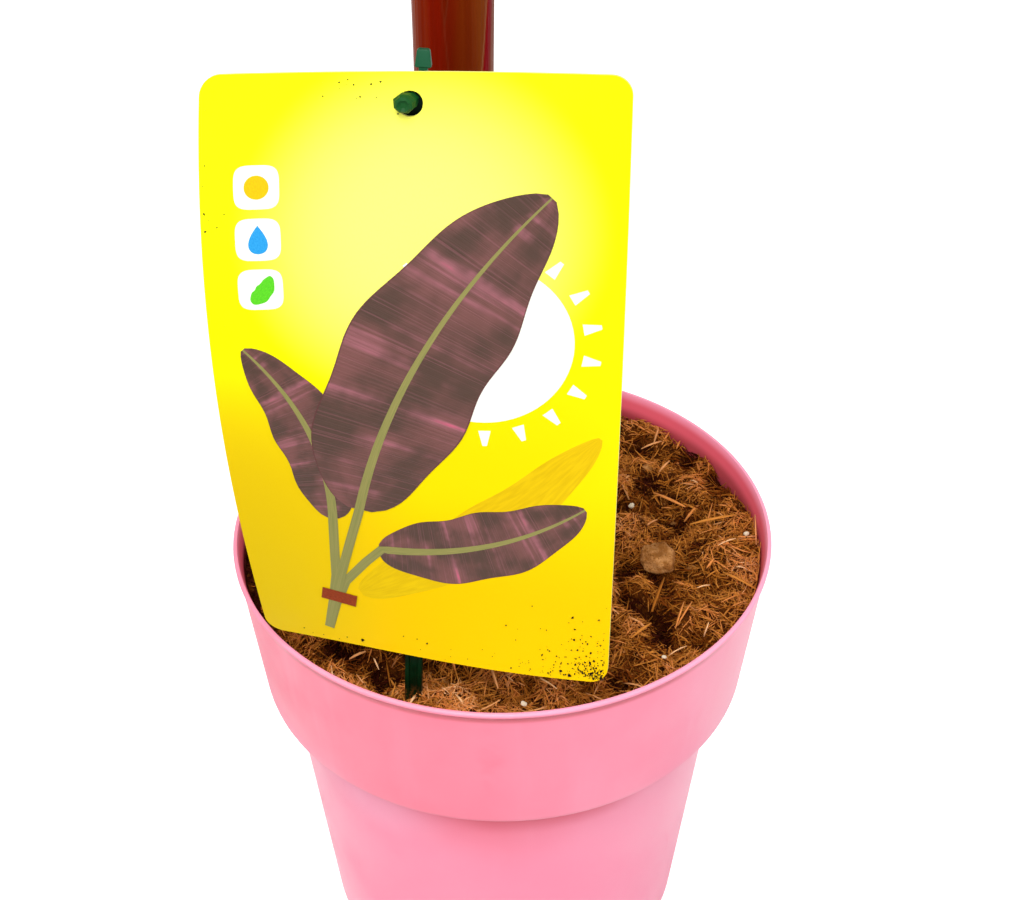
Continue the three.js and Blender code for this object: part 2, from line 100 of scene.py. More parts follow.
LEAF = Sizes(
    count=7, turn=3 / 7, first_azimuth=30, foot_height=(448, 522), foot_sink=4,
    petiole=(82, 122), blade=(265, 385), half_width=(56, 75),
    foot_angle=(36, 10), middle_angle=(66, 32), tip_angle=(116, 74),
    foot_share=0.4, middle_share=0.34, tip_share=0.34, roll=9, roll_shift=1,
    petiole_foot_half=8.5, petiole_half=4.6, petiole_run=60, petiole_core=8.5, petiole_edge=2.2,
    petiole_channel=2.4, foot_core=5, foot_run=45, foot_tuck=0.05,
    blade_thickness=0.7, tip_half=1.6, rib_half=(4.2, 1.1), rib_most=0.86, rib_depth=(6.2, 0.7),
    rib_channel=1.5, blade_start=(-0.03, 0.06), base_power=0.32, tip_power=0.5, keel=0.3, droop=0.38,
    wave=4.5, waves=3.4, wave_start=0.15, wave_shift=1.9, ruffle=1.1, ruffles=9.5, ruffle_shift=2.3,
    pleat=0.35, pleats=24, patch_shift=3.37,
    most_tears=3, tear_width=7, tear_root=0.06, tear_slant=0.07, tear_inner=(0.3, 0.6),
    tear_along=(0.12, 0.8), tear_lift=2.2,
    line_steps=600, petiole_columns=26, blade_columns=132, column_power=1.12, rib_rows=3, blade_rows=15,
)

SPEAR = Sizes(
    length=285, foot_radius=6.2, belly_radius=8.4, belly=0.36, tip_radius=1.6, taper_power=1.6,
    azimuth=30, sway=22, lap=0.85, twists=1.35, point=0.97, point_shut=0.7,
    seam=0.35, seam_place=0.97, seam_width=0.025, band_along=0.55, band_wind=0.25, sides=72, rings=150,
)

CARD = Sizes(
    width=123, height=208.6, thickness=0.8, corner_radius=6, corner_steps=9,
    bow_left=15.8, bow_right=-2.8, bow_skew=0.4, twist=21.3,
    foot_curl=2.9, foot_curl_reach=0.35, foot_curl_skew=1.5,
    position=(-24.1, -89.1, 208.9), yaw=-15.6, lean=-5.7, roll=-1.6,
    hole_radius=3.75, hole_shift=-1, hole_drop=9, hole_rings=3, facet=1.5, sharp_angle=40,
    ink=0.05, ink_layer=0.07, ink_sharp_angle=30,
)

# Print on the card: places across from its middle and up from its foot
PRINT = Sizes(
    sun=(20, 124), sun_radius=27, rays=18, ray_reach=(30, 35.5), ray_half=(1.9, 0.7),
    foot=(-37, 7), knot=(-32, 26), knot_spread=0.12, stalk_spacing=9, rib_half=(1.7, 0.3),
    tie=((-37.5, 24), (-25.5, 21.5)), tie_half=(2.6, 2.6), tie_layer=6,
    shade=((-24, 26), (56, 92), 10, 0.05),
    # Leaves: name, layer, start, tip, half width and bend
    leaves=(
        ("large", 4, (-21, 62), (40, 172), 23, -0.07),
        ("low", 2, (-16, 46), (52, 66), 13, 0.09),
        ("left", 2, (-30, 58), (-52, 124), 11, 0.1),
    ),
    leaf_ends=(0.004, 0.996), leaf_widest=0.45, leaf_powers=(0.45, 0.6), leaf_ripple=0.05, leaf_ripples=19,
    sign_across=-45, sign_heights=(176, 160, 144), badge=6.6, badge_power=4.0, sign=3.6,
    sign_leaf_foot=(-3, -4), sign_leaf_tip=(3, 4.5), sign_leaf_half=2.6, sign_leaf_bend=0.12,
    round_end=0.249, drop_end=0.999, drop_power=0.55, drop_width=0.72, drop_height=1.25,
    rows=40, leaf_rows=60, leaf_columns=21, strip_columns=5, round_columns=25, drop_columns=15,
)

# Crumbs on the card: how many, and how far they scatter, at its corner, top, left side and foot
CARD_CRUMBS = Sizes(
    corner=260, corner_inset=(1, 1.2), corner_scatter=(8, 6.5),
    top=14, top_across=(-32, -3), top_inset=2, top_scatter=2,
    side=10, side_inset=1, side_scatter=3, side_up=(120, 200),
    foot=24, foot_inset=(4, 1), foot_scatter=2.5,
    least=0.16, growth=0.7, spread=(1.2, 4.0), lift=0.2, flatness=0.3,
)

STAKE = Sizes(
    lean_right=2.65, lean_back=4.35, buried=40, width=6, depth=4, groove_width=3, groove_depth=1.1,
    edge_round=0.35, edge_steps=3, rings=40, sharp_angle=35, point_length=9, point_share=0.35,
    stand_off=1, bar_above_peg=3, neck_width=2.6, neck_depth=2, neck_sink=1, neck_short=0.15, neck_round=0.4,
    head_above_peg=9.2, head_width=4.8, head_depth=2.8, head_height=5.2, head_top_share=0.78,
    head_round=0.35, head_end_round=0.3, head_round_steps=4,
    head_foot=(0.5, 0.4, 0.3), head_top=(0.8, 0.7, 0.45),
    peg_side=3.2, peg_radius=2.7, peg_start=0.3, peg_sides=8, peg_flat=0.9, peg_uneven=0.06,
    # Stages of the peg: reach before the card's face, radius, and shift to the right
    peg_stages=(
        (-0.2, 2.7, -0.4), (0.6, 3.2, -1.0), (2.4, 3.3, -1.4),
        (3.8, 2.8, -1.5), (4.5, 2.0, -1.5), (3.9, 1.0, -1.5),
    ),
    seat_radius=5.4, seat_gap=0.6, seat_bevel=0.3, seat_sides=40,
)

COIR = Sizes(
    reach=101, points=4, highest=197, wall_gap=0.8, stem_gap=0.3,
    clumps=135, clump_margin=4, clump_size=(0.8, 1.35), clump_lift=1.5, clump_warp=1.6,
    crevice=3.6, crevice_width=5.0, tuft_lift=1.1, tuft_waves=(6, 17), tuft_swing=0.7,
    length_spread=(1.3, 3.0), radius_spread=(1.5, 3.0), thin_end=0.55, known_thin_end=0.5,
    follow=0.3, sunk=0.6, strand_roughness=0.75,
    crumbs=15000, crumb_size=(0.25, 0.95), crumb_spread=(1.2, 3.5), crumb_rise=(-0.3, 2.5), crumb_sink=3,
    crumb_flatness=0.6, crumb_most=1.25, crumb_roughness=0.9,
    lump_waves=(0.5, 2.2), lump_shift=50, lump_sides=(0.75, 1.15), lump_flat=0.75,
    clods=16, clod_margin=8, clod_size=(1.4, 3.2), clod_spread=(1.3, 3.0), clod_rise=0.2, clod_relief=0.13,
    clod_divisions=4, grit=6, grit_margin=6, grit_size=(0.9, 1.5), grit_rise=2.6, grit_least=2.4,
    grit_relief=0.12, grit_divisions=2, grit_roughness=0.8,
)
# A strand's three sides, and shifts that keep its frame sound where it is straight or upright
STRAND = Sizes(sides=3, nudge=1e-9, tip_off=1e-4)
FIBRES = Sizes(
    seed=21, count=30000, tufts=900, loose_share=0.3, spread=4.2, swing=0.5, length=(3.0, 14),
    radius=(0.15, 0.46), bend=0.34, wander=0.06, lift=2.6, arch=0.5, tilt=0.26,
)
SLIVERS = Sizes(
    seed=24, count=620, tufts=620, loose_share=1.0, spread=3.0, swing=1.0, length=(4.0, 18),
    radius=(0.32, 0.8), bend=0.14, wander=0.03, lift=3.0, arch=0.5, tilt=0.22,
)

# What makes a strand pale or dark: deep, low and crevice strands are darker and those in raised tufts paler,
# as painted shade and light; hollows and places of painted shade darken it as painted shade; strands are
# paler on the run to the pot's front, as painted light, and on the run to its back; clump and chance vary its
# tone
PALENESS = Sizes(
    level=0.8, height=0.13, clump=0.3, crevice=-0.9, tuft=0.38, damp=-3.6, chance=0.4,
    front=0.5, front_run=(58, 84), back=0.4, back_run=(40, 72),
)

SEEDS = Sizes(
    lumps=11, grain=12, pits=13, clumps=15, tufts=16, tints=22, crumbs=23, clods=31,
    grit_forms=34, clod_forms=35, card_crumbs=41,
)

# Number helpers


def between(pair, share):
    return pair[0] + (pair[1] - pair[0]) * share


def ease(value, start, end):
    share = np.clip((value - start) / (end - start), 0.0, 1.0)
    return share * share * (3.0 - 2.0 * share)


def unit(vectors):
    return vectors / np.linalg.norm(vectors, axis=-1, keepdims=True)


def wave_field(seed, count, lengths):
    """A smooth random field over a plane or a space, about -2 to 2, as a sum of waves."""
    rng = np.random.default_rng(seed)
    length = np.exp(rng.uniform(*np.log(lengths), count))
    heading = unit(rng.normal(size=(count, 3)))
    phase = rng.uniform(0, TAU, count)
    weight = length / np.sqrt(0.5 * np.sum(length**2))

    def field(x, y, z=0.0):
        total = 0.0
        for k in range(count):
            along = x * heading[k, 0] + y * heading[k, 1] + z * heading[k, 2]
            total = total + weight[k] * np.sin(TAU * along / length[k] + phase[k])
        return total

    return field


# Mesh helpers


def grid_quads(rows, columns, wrap=False):
    span = columns if wrap else columns - 1
    row, column = np.meshgrid(np.arange(rows - 1), np.arange(span), indexing="ij")
    after = (column + 1) % columns
    low = row * columns
    high = low + columns
    return np.stack([low + column, low + after, high + after, high + column], -1).reshape(-1, 4)


def tube(rings, first=None, last=None):
    """A closed surface through rings of points; an end is closed at a point, or else by one flat face."""
    count, sides = rings.shape[:2]
    points = [rings.reshape(-1, 3)]
    here = np.arange(sides)
    after = (here + 1) % sides
    top = (count - 1) * sides
    faces = [grid_quads(count, sides, wrap=True)]
    total = count * sides
    if first is None:
        faces.append(here[None, ::-1])
    else:
        points.append(np.array(first, float)[None])
        faces.append(np.stack([np.full(sides, total), after, here], 1))
        total += 1
    if last is None:
        faces.append(top + here[None])
    else:
        points.append(np.array(last, float)[None])
        faces.append(np.stack([top + here, top + after, np.full(sides, total)], 1))
    return np.vstack(points), faces


def turned(profile, sides):
    """A profile of radius and height turned about Z; both its ends lie on the axis."""
    turn = TAU * np.arange(sides) / sides
    ring = profile[1:-1]
    height = np.repeat(ring[:, 1:], sides, axis=1)
    rings = np.stack([ring[:, :1] * np.cos(turn), ring[:, :1] * np.sin(turn), height], -1)
    return tube(rings, (0, 0, profile[0, 1]), (0, 0, profile[-1, 1]))


def shell(upper, lower, faces):
    """A closed sheet: its upper faces, its lower faces and walls along every open edge."""
    count = len(upper)
    start = faces.ravel()
    end = np.roll(faces, -1, axis=1).ravel()
    is_open = ~np.isin(start * count + end, end * count + start)
    a, b = start[is_open], end[is_open]
    walls = np.stack([a, a + count, b + count, b], 1)
    return np.vstack([upper, lower]), [faces, faces[:, ::-1] + count, walls]


def rounded_path(corners, steps):
    """A path of x, y, rounding corners, with each rounded corner drawn as an arc."""
    path = []
    for i, (x, y, radius) in enumerate(corners):
        here = np.array((x, y), float)
        if radius == 0:
            path.append(here)
            continue
        before = unit(np.array(corners[i - 1][:2]) - here)
        after = unit(np.array(corners[(i + 1) % len(corners)][:2]) - here)
        half = 0.5 * math.acos(np.clip(before @ after, -1, 1))
        centre = here + unit(before + after) * radius / math.sin(half)
        start = here + before * radius / math.tan(half) - centre
        end = here + after * radius / math.tan(half) - centre
        from_turn = math.atan2(start[1], start[0])
        swing = (math.atan2(end[1], end[0]) - from_turn + math.pi) % TAU - math.pi
        for step in range(steps + 1):
            turn = from_turn + swing * step / steps
            path.append(centre + radius * np.array((math.cos(turn), math.sin(turn))))
    return np.array(path)


def spaced(path, spacing):
    """The same path with points added on its long straights."""
    result = [path[0]]
    for a, b in zip(path[:-1], path[1:]):
        parts = max(1, math.ceil(np.linalg.norm(b - a) / spacing))
        result.extend(a + (b - a) * (k + 1) / parts for k in range(parts))
    return np.array(result)


def build_mesh(name, points, face_sets, smooth=True, sharp_angle=None):
    mesh = bpy.data.meshes.new(name)
    corners = np.concatenate([faces.ravel() for faces in face_sets]).astype(np.int32)
    sizes = np.concatenate([np.full(len(faces), faces.shape[1]) for faces in face_sets])
    starts = np.concatenate([[0], np.cumsum(sizes)[:-1]]).astype(np.int32)
    mesh.vertices.add(len(points))
    mesh.vertices.foreach_set("co", (points * MM).astype(np.float32).ravel())
    mesh.loops.add(len(corners))
    mesh.loops.foreach_set("vertex_index", corners)
    mesh.polygons.add(len(starts))
    mesh.polygons.foreach_set("loop_start", starts)
    mesh.update(calc_edges=True)
    if smooth:
        mesh.shade_smooth()
    else:
        mesh.shade_flat()
    if sharp_angle:
        mesh.set_sharp_from_angle(angle=math.radians(sharp_angle))
    return mesh


def give_uv(mesh, name, places):
    """A UV map from one place for each vertex."""
    layer = mesh.uv_layers.new(name=name)
    corner = np.empty(len(mesh.loops), np.int32)
    mesh.loops.foreach_get("vertex_index", corner)
    layer.data.foreach_set("uv", places[corner].astype(np.float32).ravel())


def give_mask(mesh, name, values):
    layer = mesh.attributes.new(name, "FLOAT", "POINT")
    layer.data.foreach_set("value", np.asarray(values, np.float32).ravel())


def give_finish(mesh, numbers):
    mesh.polygons.foreach_set("material_index", np.asarray(numbers, np.int32))


def add_piece(mesh, materials, slot, *nodes):
    piece = bpy.data.objects.new(mesh.name, mesh)
    bpy.context.scene.collection.objects.link(piece)
    for material in materials:
        mesh.materials.append(material)
    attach(piece, "root")
    if nodes:
        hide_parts(*nodes)
    return piece


# Shader helpers


def tone(red, green, blue):
    """A colour from screen values of 0 to 255."""
    shares = [value / 255 for value in (red, green, blue)]
    plain = [s / 12.92 if s <= 0.04045 else ((s + 0.055) / 1.055) ** 2.4 for s in shares]
    return (*plain, 1.0)


def fill(tree, node, inputs):
    """Sets a node's inputs to values, or links them to sockets."""
    for key, value in inputs.items():
        if isinstance(value, bpy.types.NodeSocket):
            tree.links.new(value, node.inputs[key])
        else:
            node.inputs[key].default_value = value


def add_node(tree, kind, inputs=None, **settings):
    node = tree.nodes.new("ShaderNode" + kind)
    for key, value in settings.items():
        setattr(node, key, value)
    fill(tree, node, inputs or {})
    return node


def figure(tree, operation, first, second=0.0):
    return add_node(tree, "Math", {0: first, 1: second}, operation=operation).outputs[0]


def ramp(tree, value, low, high):
    """0 at low and 1 at high, eased; low may be the larger of the two."""
    inputs = {"Value": value, "From Min": low, "From Max": high}
    return add_node(tree, "MapRange", inputs, interpolation_type="SMOOTHSTEP").outputs["Result"]


def span(tree, value, low, high):
    """A value of 0 to 1 moved to the span from low to high."""
    return add_node(tree, "MapRange", {"Value": value, "To Min": low, "To Max": high}).outputs["Result"]


def run(tree, value, ends):
    """0 at the first of two places in millimetres and 1 at the second, eased."""
    return ramp(tree, value, ends[0] * MM, ends[1] * MM)


def product(tree, first, *others):
    for other in others:
        first = figure(tree, "MULTIPLY", first, other)
    return first


def mixed(tree, share, first, second):
    inputs = {0: share, 6: first, 7: second}
    return add_node(tree, "Mix", inputs, data_type="RGBA").outputs[2]


def tinted(tree, colour, tint, *factors):
    """A colour mixed with a tint by the product of masks and shares."""
    return mixed(tree, product(tree, *factors), colour, tint)


def noise(tree, place, scale, detail=4.0):
    return add_node(tree, "TexNoise", {"Vector": place, "Scale": scale, "Detail": detail}).outputs["Fac"]


def stretched(tree, place, scale):
    return add_node(tree, "Mapping", {"Vector": place, "Scale": scale}).outputs["Vector"]


def start_group(name, inputs, outputs):
    tree = bpy.data.node_groups.new(name, "ShaderNodeTree")
    for label, kind in inputs:
        tree.interface.new_socket(name=label, in_out="INPUT", socket_type="NodeSocket" + kind)
    for label, kind in outputs:
        tree.interface.new_socket(name=label, in_out="OUTPUT", socket_type="NodeSocket" + kind)
    entry = tree.nodes.new("NodeGroupInput")
    leave = tree.nodes.new("NodeGroupOutput")
    return tree, entry.outputs, leave.inputs


def use_group(tree, group, inputs):
    node = add_node(tree, "Group", node_tree=group)
    fill(tree, node, inputs)
    return node.outputs


def start_material(name, **values):
    """A material's node tree and its shader, with plain values set on the shader's own sockets."""
    material = bpy.data.materials.new(name)
    material.use_nodes = True
    tree = material.node_tree
    shader = tree.nodes["Principled BSDF"]
    for key, value in values.items():
        shader.inputs[key.replace("_", " ")].default_value = value
    return material, tree, shader


def feed(tree, shader, **sockets):
    for key, socket in sockets.items():
        tree.links.new(socket, shader.inputs[key.replace("_", " ")])


def object_place(tree):
    return add_node(tree, "TexCoord").outputs["Object"]


def split_place(tree, place):
    return add_node(tree, "SeparateXYZ", {0: place}).outputs


def mesh_mask(tree, name):
    return add_node(tree, "Attribute", attribute_name=name).outputs["Fac"]


# Effects that several finishes share


def make_mottle_group():
    """Cloudy patches: 0 below Low and 1 above High of a noise."""
    tree, entry, leave = start_group(
        "mottle",
        [("Place", "Vector"), ("Scale", "Float"), ("Low", "Float"), ("High", "Float")],
        [("Mask", "Float")],
    )
    cloud = noise(tree, entry["Place"], entry["Scale"])
    tree.links.new(ramp(tree, cloud, entry["Low"], entry["High"]), leave["Mask"])
    return tree


def make_grain_group():
    """Fine moulded or grown grain in the surface, Depth metres deep."""
    tree, entry, leave = start_group(
        "fine_grain",
        [("Place", "Vector"), ("Scale", "Float"), ("Depth", "Float")],
        [("Normal", "Vector")],
    )
    grain = noise(tree, entry["Place"], entry["Scale"], detail=3.0)
    bump = add_node(tree, "Bump", {"Strength": 1.0, "Distance": entry["Depth"], "Height": grain})
    tree.links.new(bump.outputs["Normal"], leave["Normal"])
    return tree


def make_vein_group():
    """Bands, fine lines and patches that follow a blade's side veins."""
    tree, entry, leave = start_group(
        "side_veins",
        [("Along", "Float"), ("Across", "Float"), ("Count", "Float")],
        [("Band", "Float"), ("Line", "Float"), ("Patch", "Float")],
    )
    steps = product(tree, entry["Along"], entry["Count"])

    def cloud(along, along_scale, across_scale, scale, detail):
        x = product(tree, along, along_scale)
        y = product(tree, entry["Across"], across_scale)
        place = add_node(tree, "CombineXYZ", {"X": x, "Y": y}).outputs[0]
        return noise(tree, place, scale, detail)

    band = cloud(steps, along_scale=1.0, across_scale=0.7, scale=0.55, detail=3.0)
    line = cloud(steps, along_scale=4.0, across_scale=0.4, scale=1.0, detail=2.0)
    patch = cloud(entry["Along"], along_scale=5.0, across_scale=1.6, scale=1.0, detail=3.0)
    tree.links.new(band, leave["Band"])
    tree.links.new(line, leave["Line"])
    tree.links.new(patch, leave["Patch"])
    return tree


def make_dust_group():
    """Specks of coir dust, full at a Level and fading out over a Reach above it, both in metres."""
    tree, entry, leave = start_group(
        "coir_dust",
        [("Place", "Vector"), ("Level", "Float"), ("Reach", "Float")],
        [("Mask", "Float")],
    )
    height = split_place(tree, entry["Place"])["Z"]
    top = figure(tree, "ADD", entry["Level"], entry["Reach"])
    near = ramp(tree, height, top, entry["Level"])
    specks = ramp(tree, noise(tree, entry["Place"], scale=900.0, detail=3.0), low=0.42, high=0.6)
    tree.links.new(product(tree, near, specks), leave["Mask"])
    return tree


MOTTLE = make_mottle_group()
GRAIN = make_grain_group()
VEINS = make_vein_group()
DUST = make_dust_group()


def mottle(tree, place, scale, low, high):
    return use_group(tree, MOTTLE, {"Place": place, "Scale": scale, "Low": low, "High": high})["Mask"]


def grain(tree, place, scale, depth):
    return use_group(tree, GRAIN, {"Place": place, "Scale": scale, "Depth": depth * MM})["Normal"]


def dust(tree, place, level, reach):
    return use_group(tree, DUST, {"Place": place, "Level": level * MM, "Reach": reach * MM})["Mask"]


# Finishes

# Of the pot's pinks, the paler right side, the lip's and the patch's highlight and the paler low body are
# painted light, and the inside, soil-line and groove tones are painted shade
PINK = tone(251, 133, 155)
PINK_DEEP = tone(248, 122, 144)
PINK_LIT_RIGHT = tone(255, 165, 196)
PINK_PALE = tone(253, 154, 177)
PINK_STAIN = tone(238, 104, 126)
PINK_HIGHLIGHT = tone(255, 176, 204)
PINK_INSIDE_SHADE = tone(232, 85, 103)
PINK_LOW_LIT = tone(254, 150, 180)
PINK_SOIL_LINE_SHADE = tone(146, 48, 44)
PINK_SHADE = tone(222, 78, 94)
COIR_DUST = tone(112, 64, 26)
BED_DARK = tone(50, 18, 2)
BED_BROWN = tone(98, 50, 10)
BED_GOLDEN = tone(158, 96, 40)
CLOD_BROWN = tone(146, 92, 42)
CLOD_TAN = tone(192, 136, 82)
CLOD_DARK = tone(110, 64, 24)
GRIT_PALE = tone(214, 198, 172)
CRUMB_BLACK = tone(34, 22, 12)
STEM_RED = tone(120, 18, 0)
STEM_BROWN = tone(104, 24, 2)
STEM_OLIVE = tone(128, 58, 12)
STEM_RUSSET = tone(136, 52, 14)
STEM_LINE = tone(84, 18, 0)
STEM_DRY = tone(120, 82, 48)
STEM_HIGH = tone(116, 84, 38)
SHEATH_EDGE = tone(128, 4, 14)
SHEATH_RIM = tone(150, 104, 78)
PETIOLE_RED = tone(132, 58, 26)
PETIOLE_BROWN = tone(104, 34, 14)
PETIOLE_LINE = tone(158, 96, 46)
PETIOLE_GREEN = tone(150, 132, 66)
PETIOLE_EDGE = tone(128, 22, 26)
CARD_YELLOW = tone(250, 247, 3)
CARD_AMBER = tone(240, 191, 0)
CARD_MUSTARD = tone(228, 192, 10)
CARD_GOLD = tone(228, 200, 0)
CARD_CREAM = tone(253, 252, 128)
CARD_GRAIN = tone(240, 220, 20)
# The stake's greens are darkened low down as painted shade and lighter higher up as painted light
STAKE_SHADED_DARK = tone(0, 21, 5)
STAKE_SHADED_GREEN = tone(0, 34, 12)
STAKE_LIT_GREEN = tone(28, 88, 58)
PEG_LIT_GREEN = tone(24, 84, 34)
# Near-black greens of the seat, a painted shadow behind the card's hole
SEAT_SHADOW_DARK = tone(0, 10, 4)
SEAT_SHADOW_GREEN = tone(0, 20, 10)
FLOOR_WHITE = (0.93, 0.93, 0.93, 1)
FLOOR_BRIGHT = (0.95, 0.95, 0.95, 1)
WHITE = (1, 1, 1, 1)
# Each tint of the coir, with its share of the fibres and of the slivers
COIR_TINTS = {
    "black": (tone(60, 15, 0), 0.1, 0.0),
    "deep": (tone(120, 58, 8), 0.17, 0.0),
    "brown": (tone(168, 99, 30), 0.28, 0.14),
    "golden": (tone(202, 128, 52), 0.29, 0.3),
    "rust": (tone(220, 138, 70), 0.14, 0.3),
    "tan": (tone(222, 154, 96), 0.018, 0.22),
    "straw": (tone(238, 186, 134), 0.002, 0.04),
}
# Each tint of the crumbs, with its share of them
CRUMB_TINTS = {
    "dark": (tone(76, 34, 5), 0.38),
    "brown": (tone(144, 84, 26), 0.44),
    "light": (tone(188, 122, 64), 0.18),
}
# Each blade finish: base and second colours, bands, flush, margin, and roughness
BLADE_FINISHES = {
    "blade_upper": (
        tone(40, 54, 26), tone(78, 62, 40), tone(142, 82, 92), tone(212, 92, 124), tone(112, 30, 40),
        (0.3, 0.44),
    ),
    "blade_under": (
        tone(98, 52, 56), tone(124, 74, 70), tone(160, 104, 110), tone(206, 116, 138), tone(112, 30, 40),
        (0.42, 0.56),
    ),
    "ink_leaf": (
        tone(72, 50, 40), tone(112, 70, 66), tone(160, 98, 108), tone(222, 84, 124), tone(84, 40, 40),
        (0.3, 0.4),
    ),
}
# Each ink's two close colours
INKS = {
    "card_back": (tone(238, 228, 120), tone(244, 236, 140)),
    "ink_tie": (tone(150, 62, 28), tone(120, 44, 20)),
    "ink_rib": (tone(128, 128, 72), tone(150, 142, 84)),
    "ink_white": (tone(252, 252, 240), tone(246, 248, 234)),
    "ink_shade": (tone(226, 190, 14), tone(214, 176, 10)),
    "ink_green": (tone(96, 208, 40), tone(80, 190, 36)),
    "ink_blue": (tone(34, 142, 210), tone(52, 158, 220)),
}
# Where the pot's pink changes, as runs in millimetres from none to full, and how strong each tint is; the
# paler right side, the lip, the highlight patch and the paler low body are painted light, and the groove, the
# ledge, the inside and the soil line are painted shade
POT_TINTS = Sizes(
    streak_stretch=(1.0, 1.0, 0.12), streak_share=0.35, scuff_stretch=(1.0, 1.0, 0.3), scuff_share=0.4,
    stain_place=(-4.7, -101, 168), stain_size=(7, 40, 26), stain_share=0.35,
    bleach_place=(-50, -73, 114), bleach_size=(36, 36, 22), bleach_share=0.4, oval_fade=(1.0, 0.2),
    faded=(-50, 75), faded_share=0.44, lip=(193.2, 194.8), lip_share=0.3,
    groove_below=(188.9, 191.2), groove_above=(193.4, 192.4), groove_front=(-50, -100), groove_share=0.75,
    low=(122, 80), low_rise=0.45, low_share=0.7,
    ledge_below=(111, 120.5), ledge_above=(132.5, 131.2), ledge_left=(-26, -2), ledge_right=(56, 36),
    ledge_front=(-20, -50), ledge_share=0.45,
    inside_edge=0.3, inside_low=(150, 160), inside_top=(194.5, 191), inside_share=0.85,
    soiled=(189.5, 184.5), soiled_share=0.6,
)
# The same for the stem and the stake; a leaf's and the card's runs are shares of their own places
STEM_TINTS = Sizes(
    stretch=(1.0, 1.0, 0.03), waver=2, brown=(-22, -14), olive=(-14, -3), russet=(-21, -28), line_share=0.2,
    dry=(205, 187), dry_share=0.6, dust_reach=12, high=(420, 530), high_share=0.55,
)
# The stake's darker foot and lighter green top are painted shade and painted light
STAKE_TINTS = Sizes(high=(300, 420), high_share=0.75, dust_reach=7)
BLADE_TINTS = Sizes(
    veins=46.0, second=(0.38, 0.64), band=(0.5, 0.66), band_patch=(0.4, 0.62), band_share=0.85,
    flush=(0.6, 0.7), flush_patch=(0.54, 0.66), line=(0.52, 0.7), line_share=0.22,
    margin=(0.975, 0.995), relief=0.22,
)
PETIOLE_TINTS = Sizes(
    veins=14.0, wind=1.2, brown=(0.4, 0.65), line=(0.5, 0.7), line_share=0.35,
    green=(-0.12, 0.35), edge=(0.93, 1.0), relief=0.15,
)
# The card's soft spots: middle across and up, and half size across and up
CARD_TINTS = Sizes(
    amber=(0.62, 0.12), mustard=(0.0, 0.22, 0.5, 0.42), gold=(0.7, 0.47, 0.5, 0.16), gold_share=0.45,
    cream=(0.52, 0.76, 0.46, 0.28), cream_share=0.9, grain_share=0.06,
)


def oval(tree, place, centre, size):
    """1 about a centre, fading to 0 at the ends of an oval; the centre and the size are millimetres."""
    off = add_node(tree, "VectorMath", {0: place, 1: [c * MM for c in centre]}, operation="SUBTRACT")
    share = add_node(tree, "VectorMath", {0: off.outputs[0], 1: [s * MM for s in size]}, operation="DIVIDE")
    far = add_node(tree, "VectorMath", {0: share.outputs[0]}, operation="LENGTH").outputs["Value"]
    return ramp(tree, far, *POT_TINTS.oval_fade)


def pot_inside(tree, x, y, z):
    """1 on the inner face of the pot's collar, from below the coir to the lip, where the inside is painted
    shade.
    """
    square = figure(tree, "ADD", product(tree, x, x), product(tree, y, y))
    slope = (POT.collar_top - POT.collar_foot) / (LIP_FOOT - SHOULDER)
    drawn_in = figure(tree, "SUBTRACT", figure(tree, "SQRT", square), product(tree, z, slope))
    middle = POT.collar_foot - POT.wall / 2 - slope * SHOULDER
    return product(
        tree,
        run(tree, drawn_in, (middle, middle - POT_TINTS.inside_edge)),
        run(tree, z, POT_TINTS.inside_low),
        run(tree, z, POT_TINTS.inside_top),
    )


def pot_ledge_shade(tree, x, y, z):
    """1 on the front of the pot's body, close below its collar, where the shadow under the collar is painted.
    """
    return product(
        tree,
        run(tree, z, POT_TINTS.ledge_below),
        run(tree, z, POT_TINTS.ledge_above),
        run(tree, x, POT_TINTS.ledge_left),
        run(tree, x, POT_TINTS.ledge_right),
        run(tree, y, POT_TINTS.ledge_front),
    )


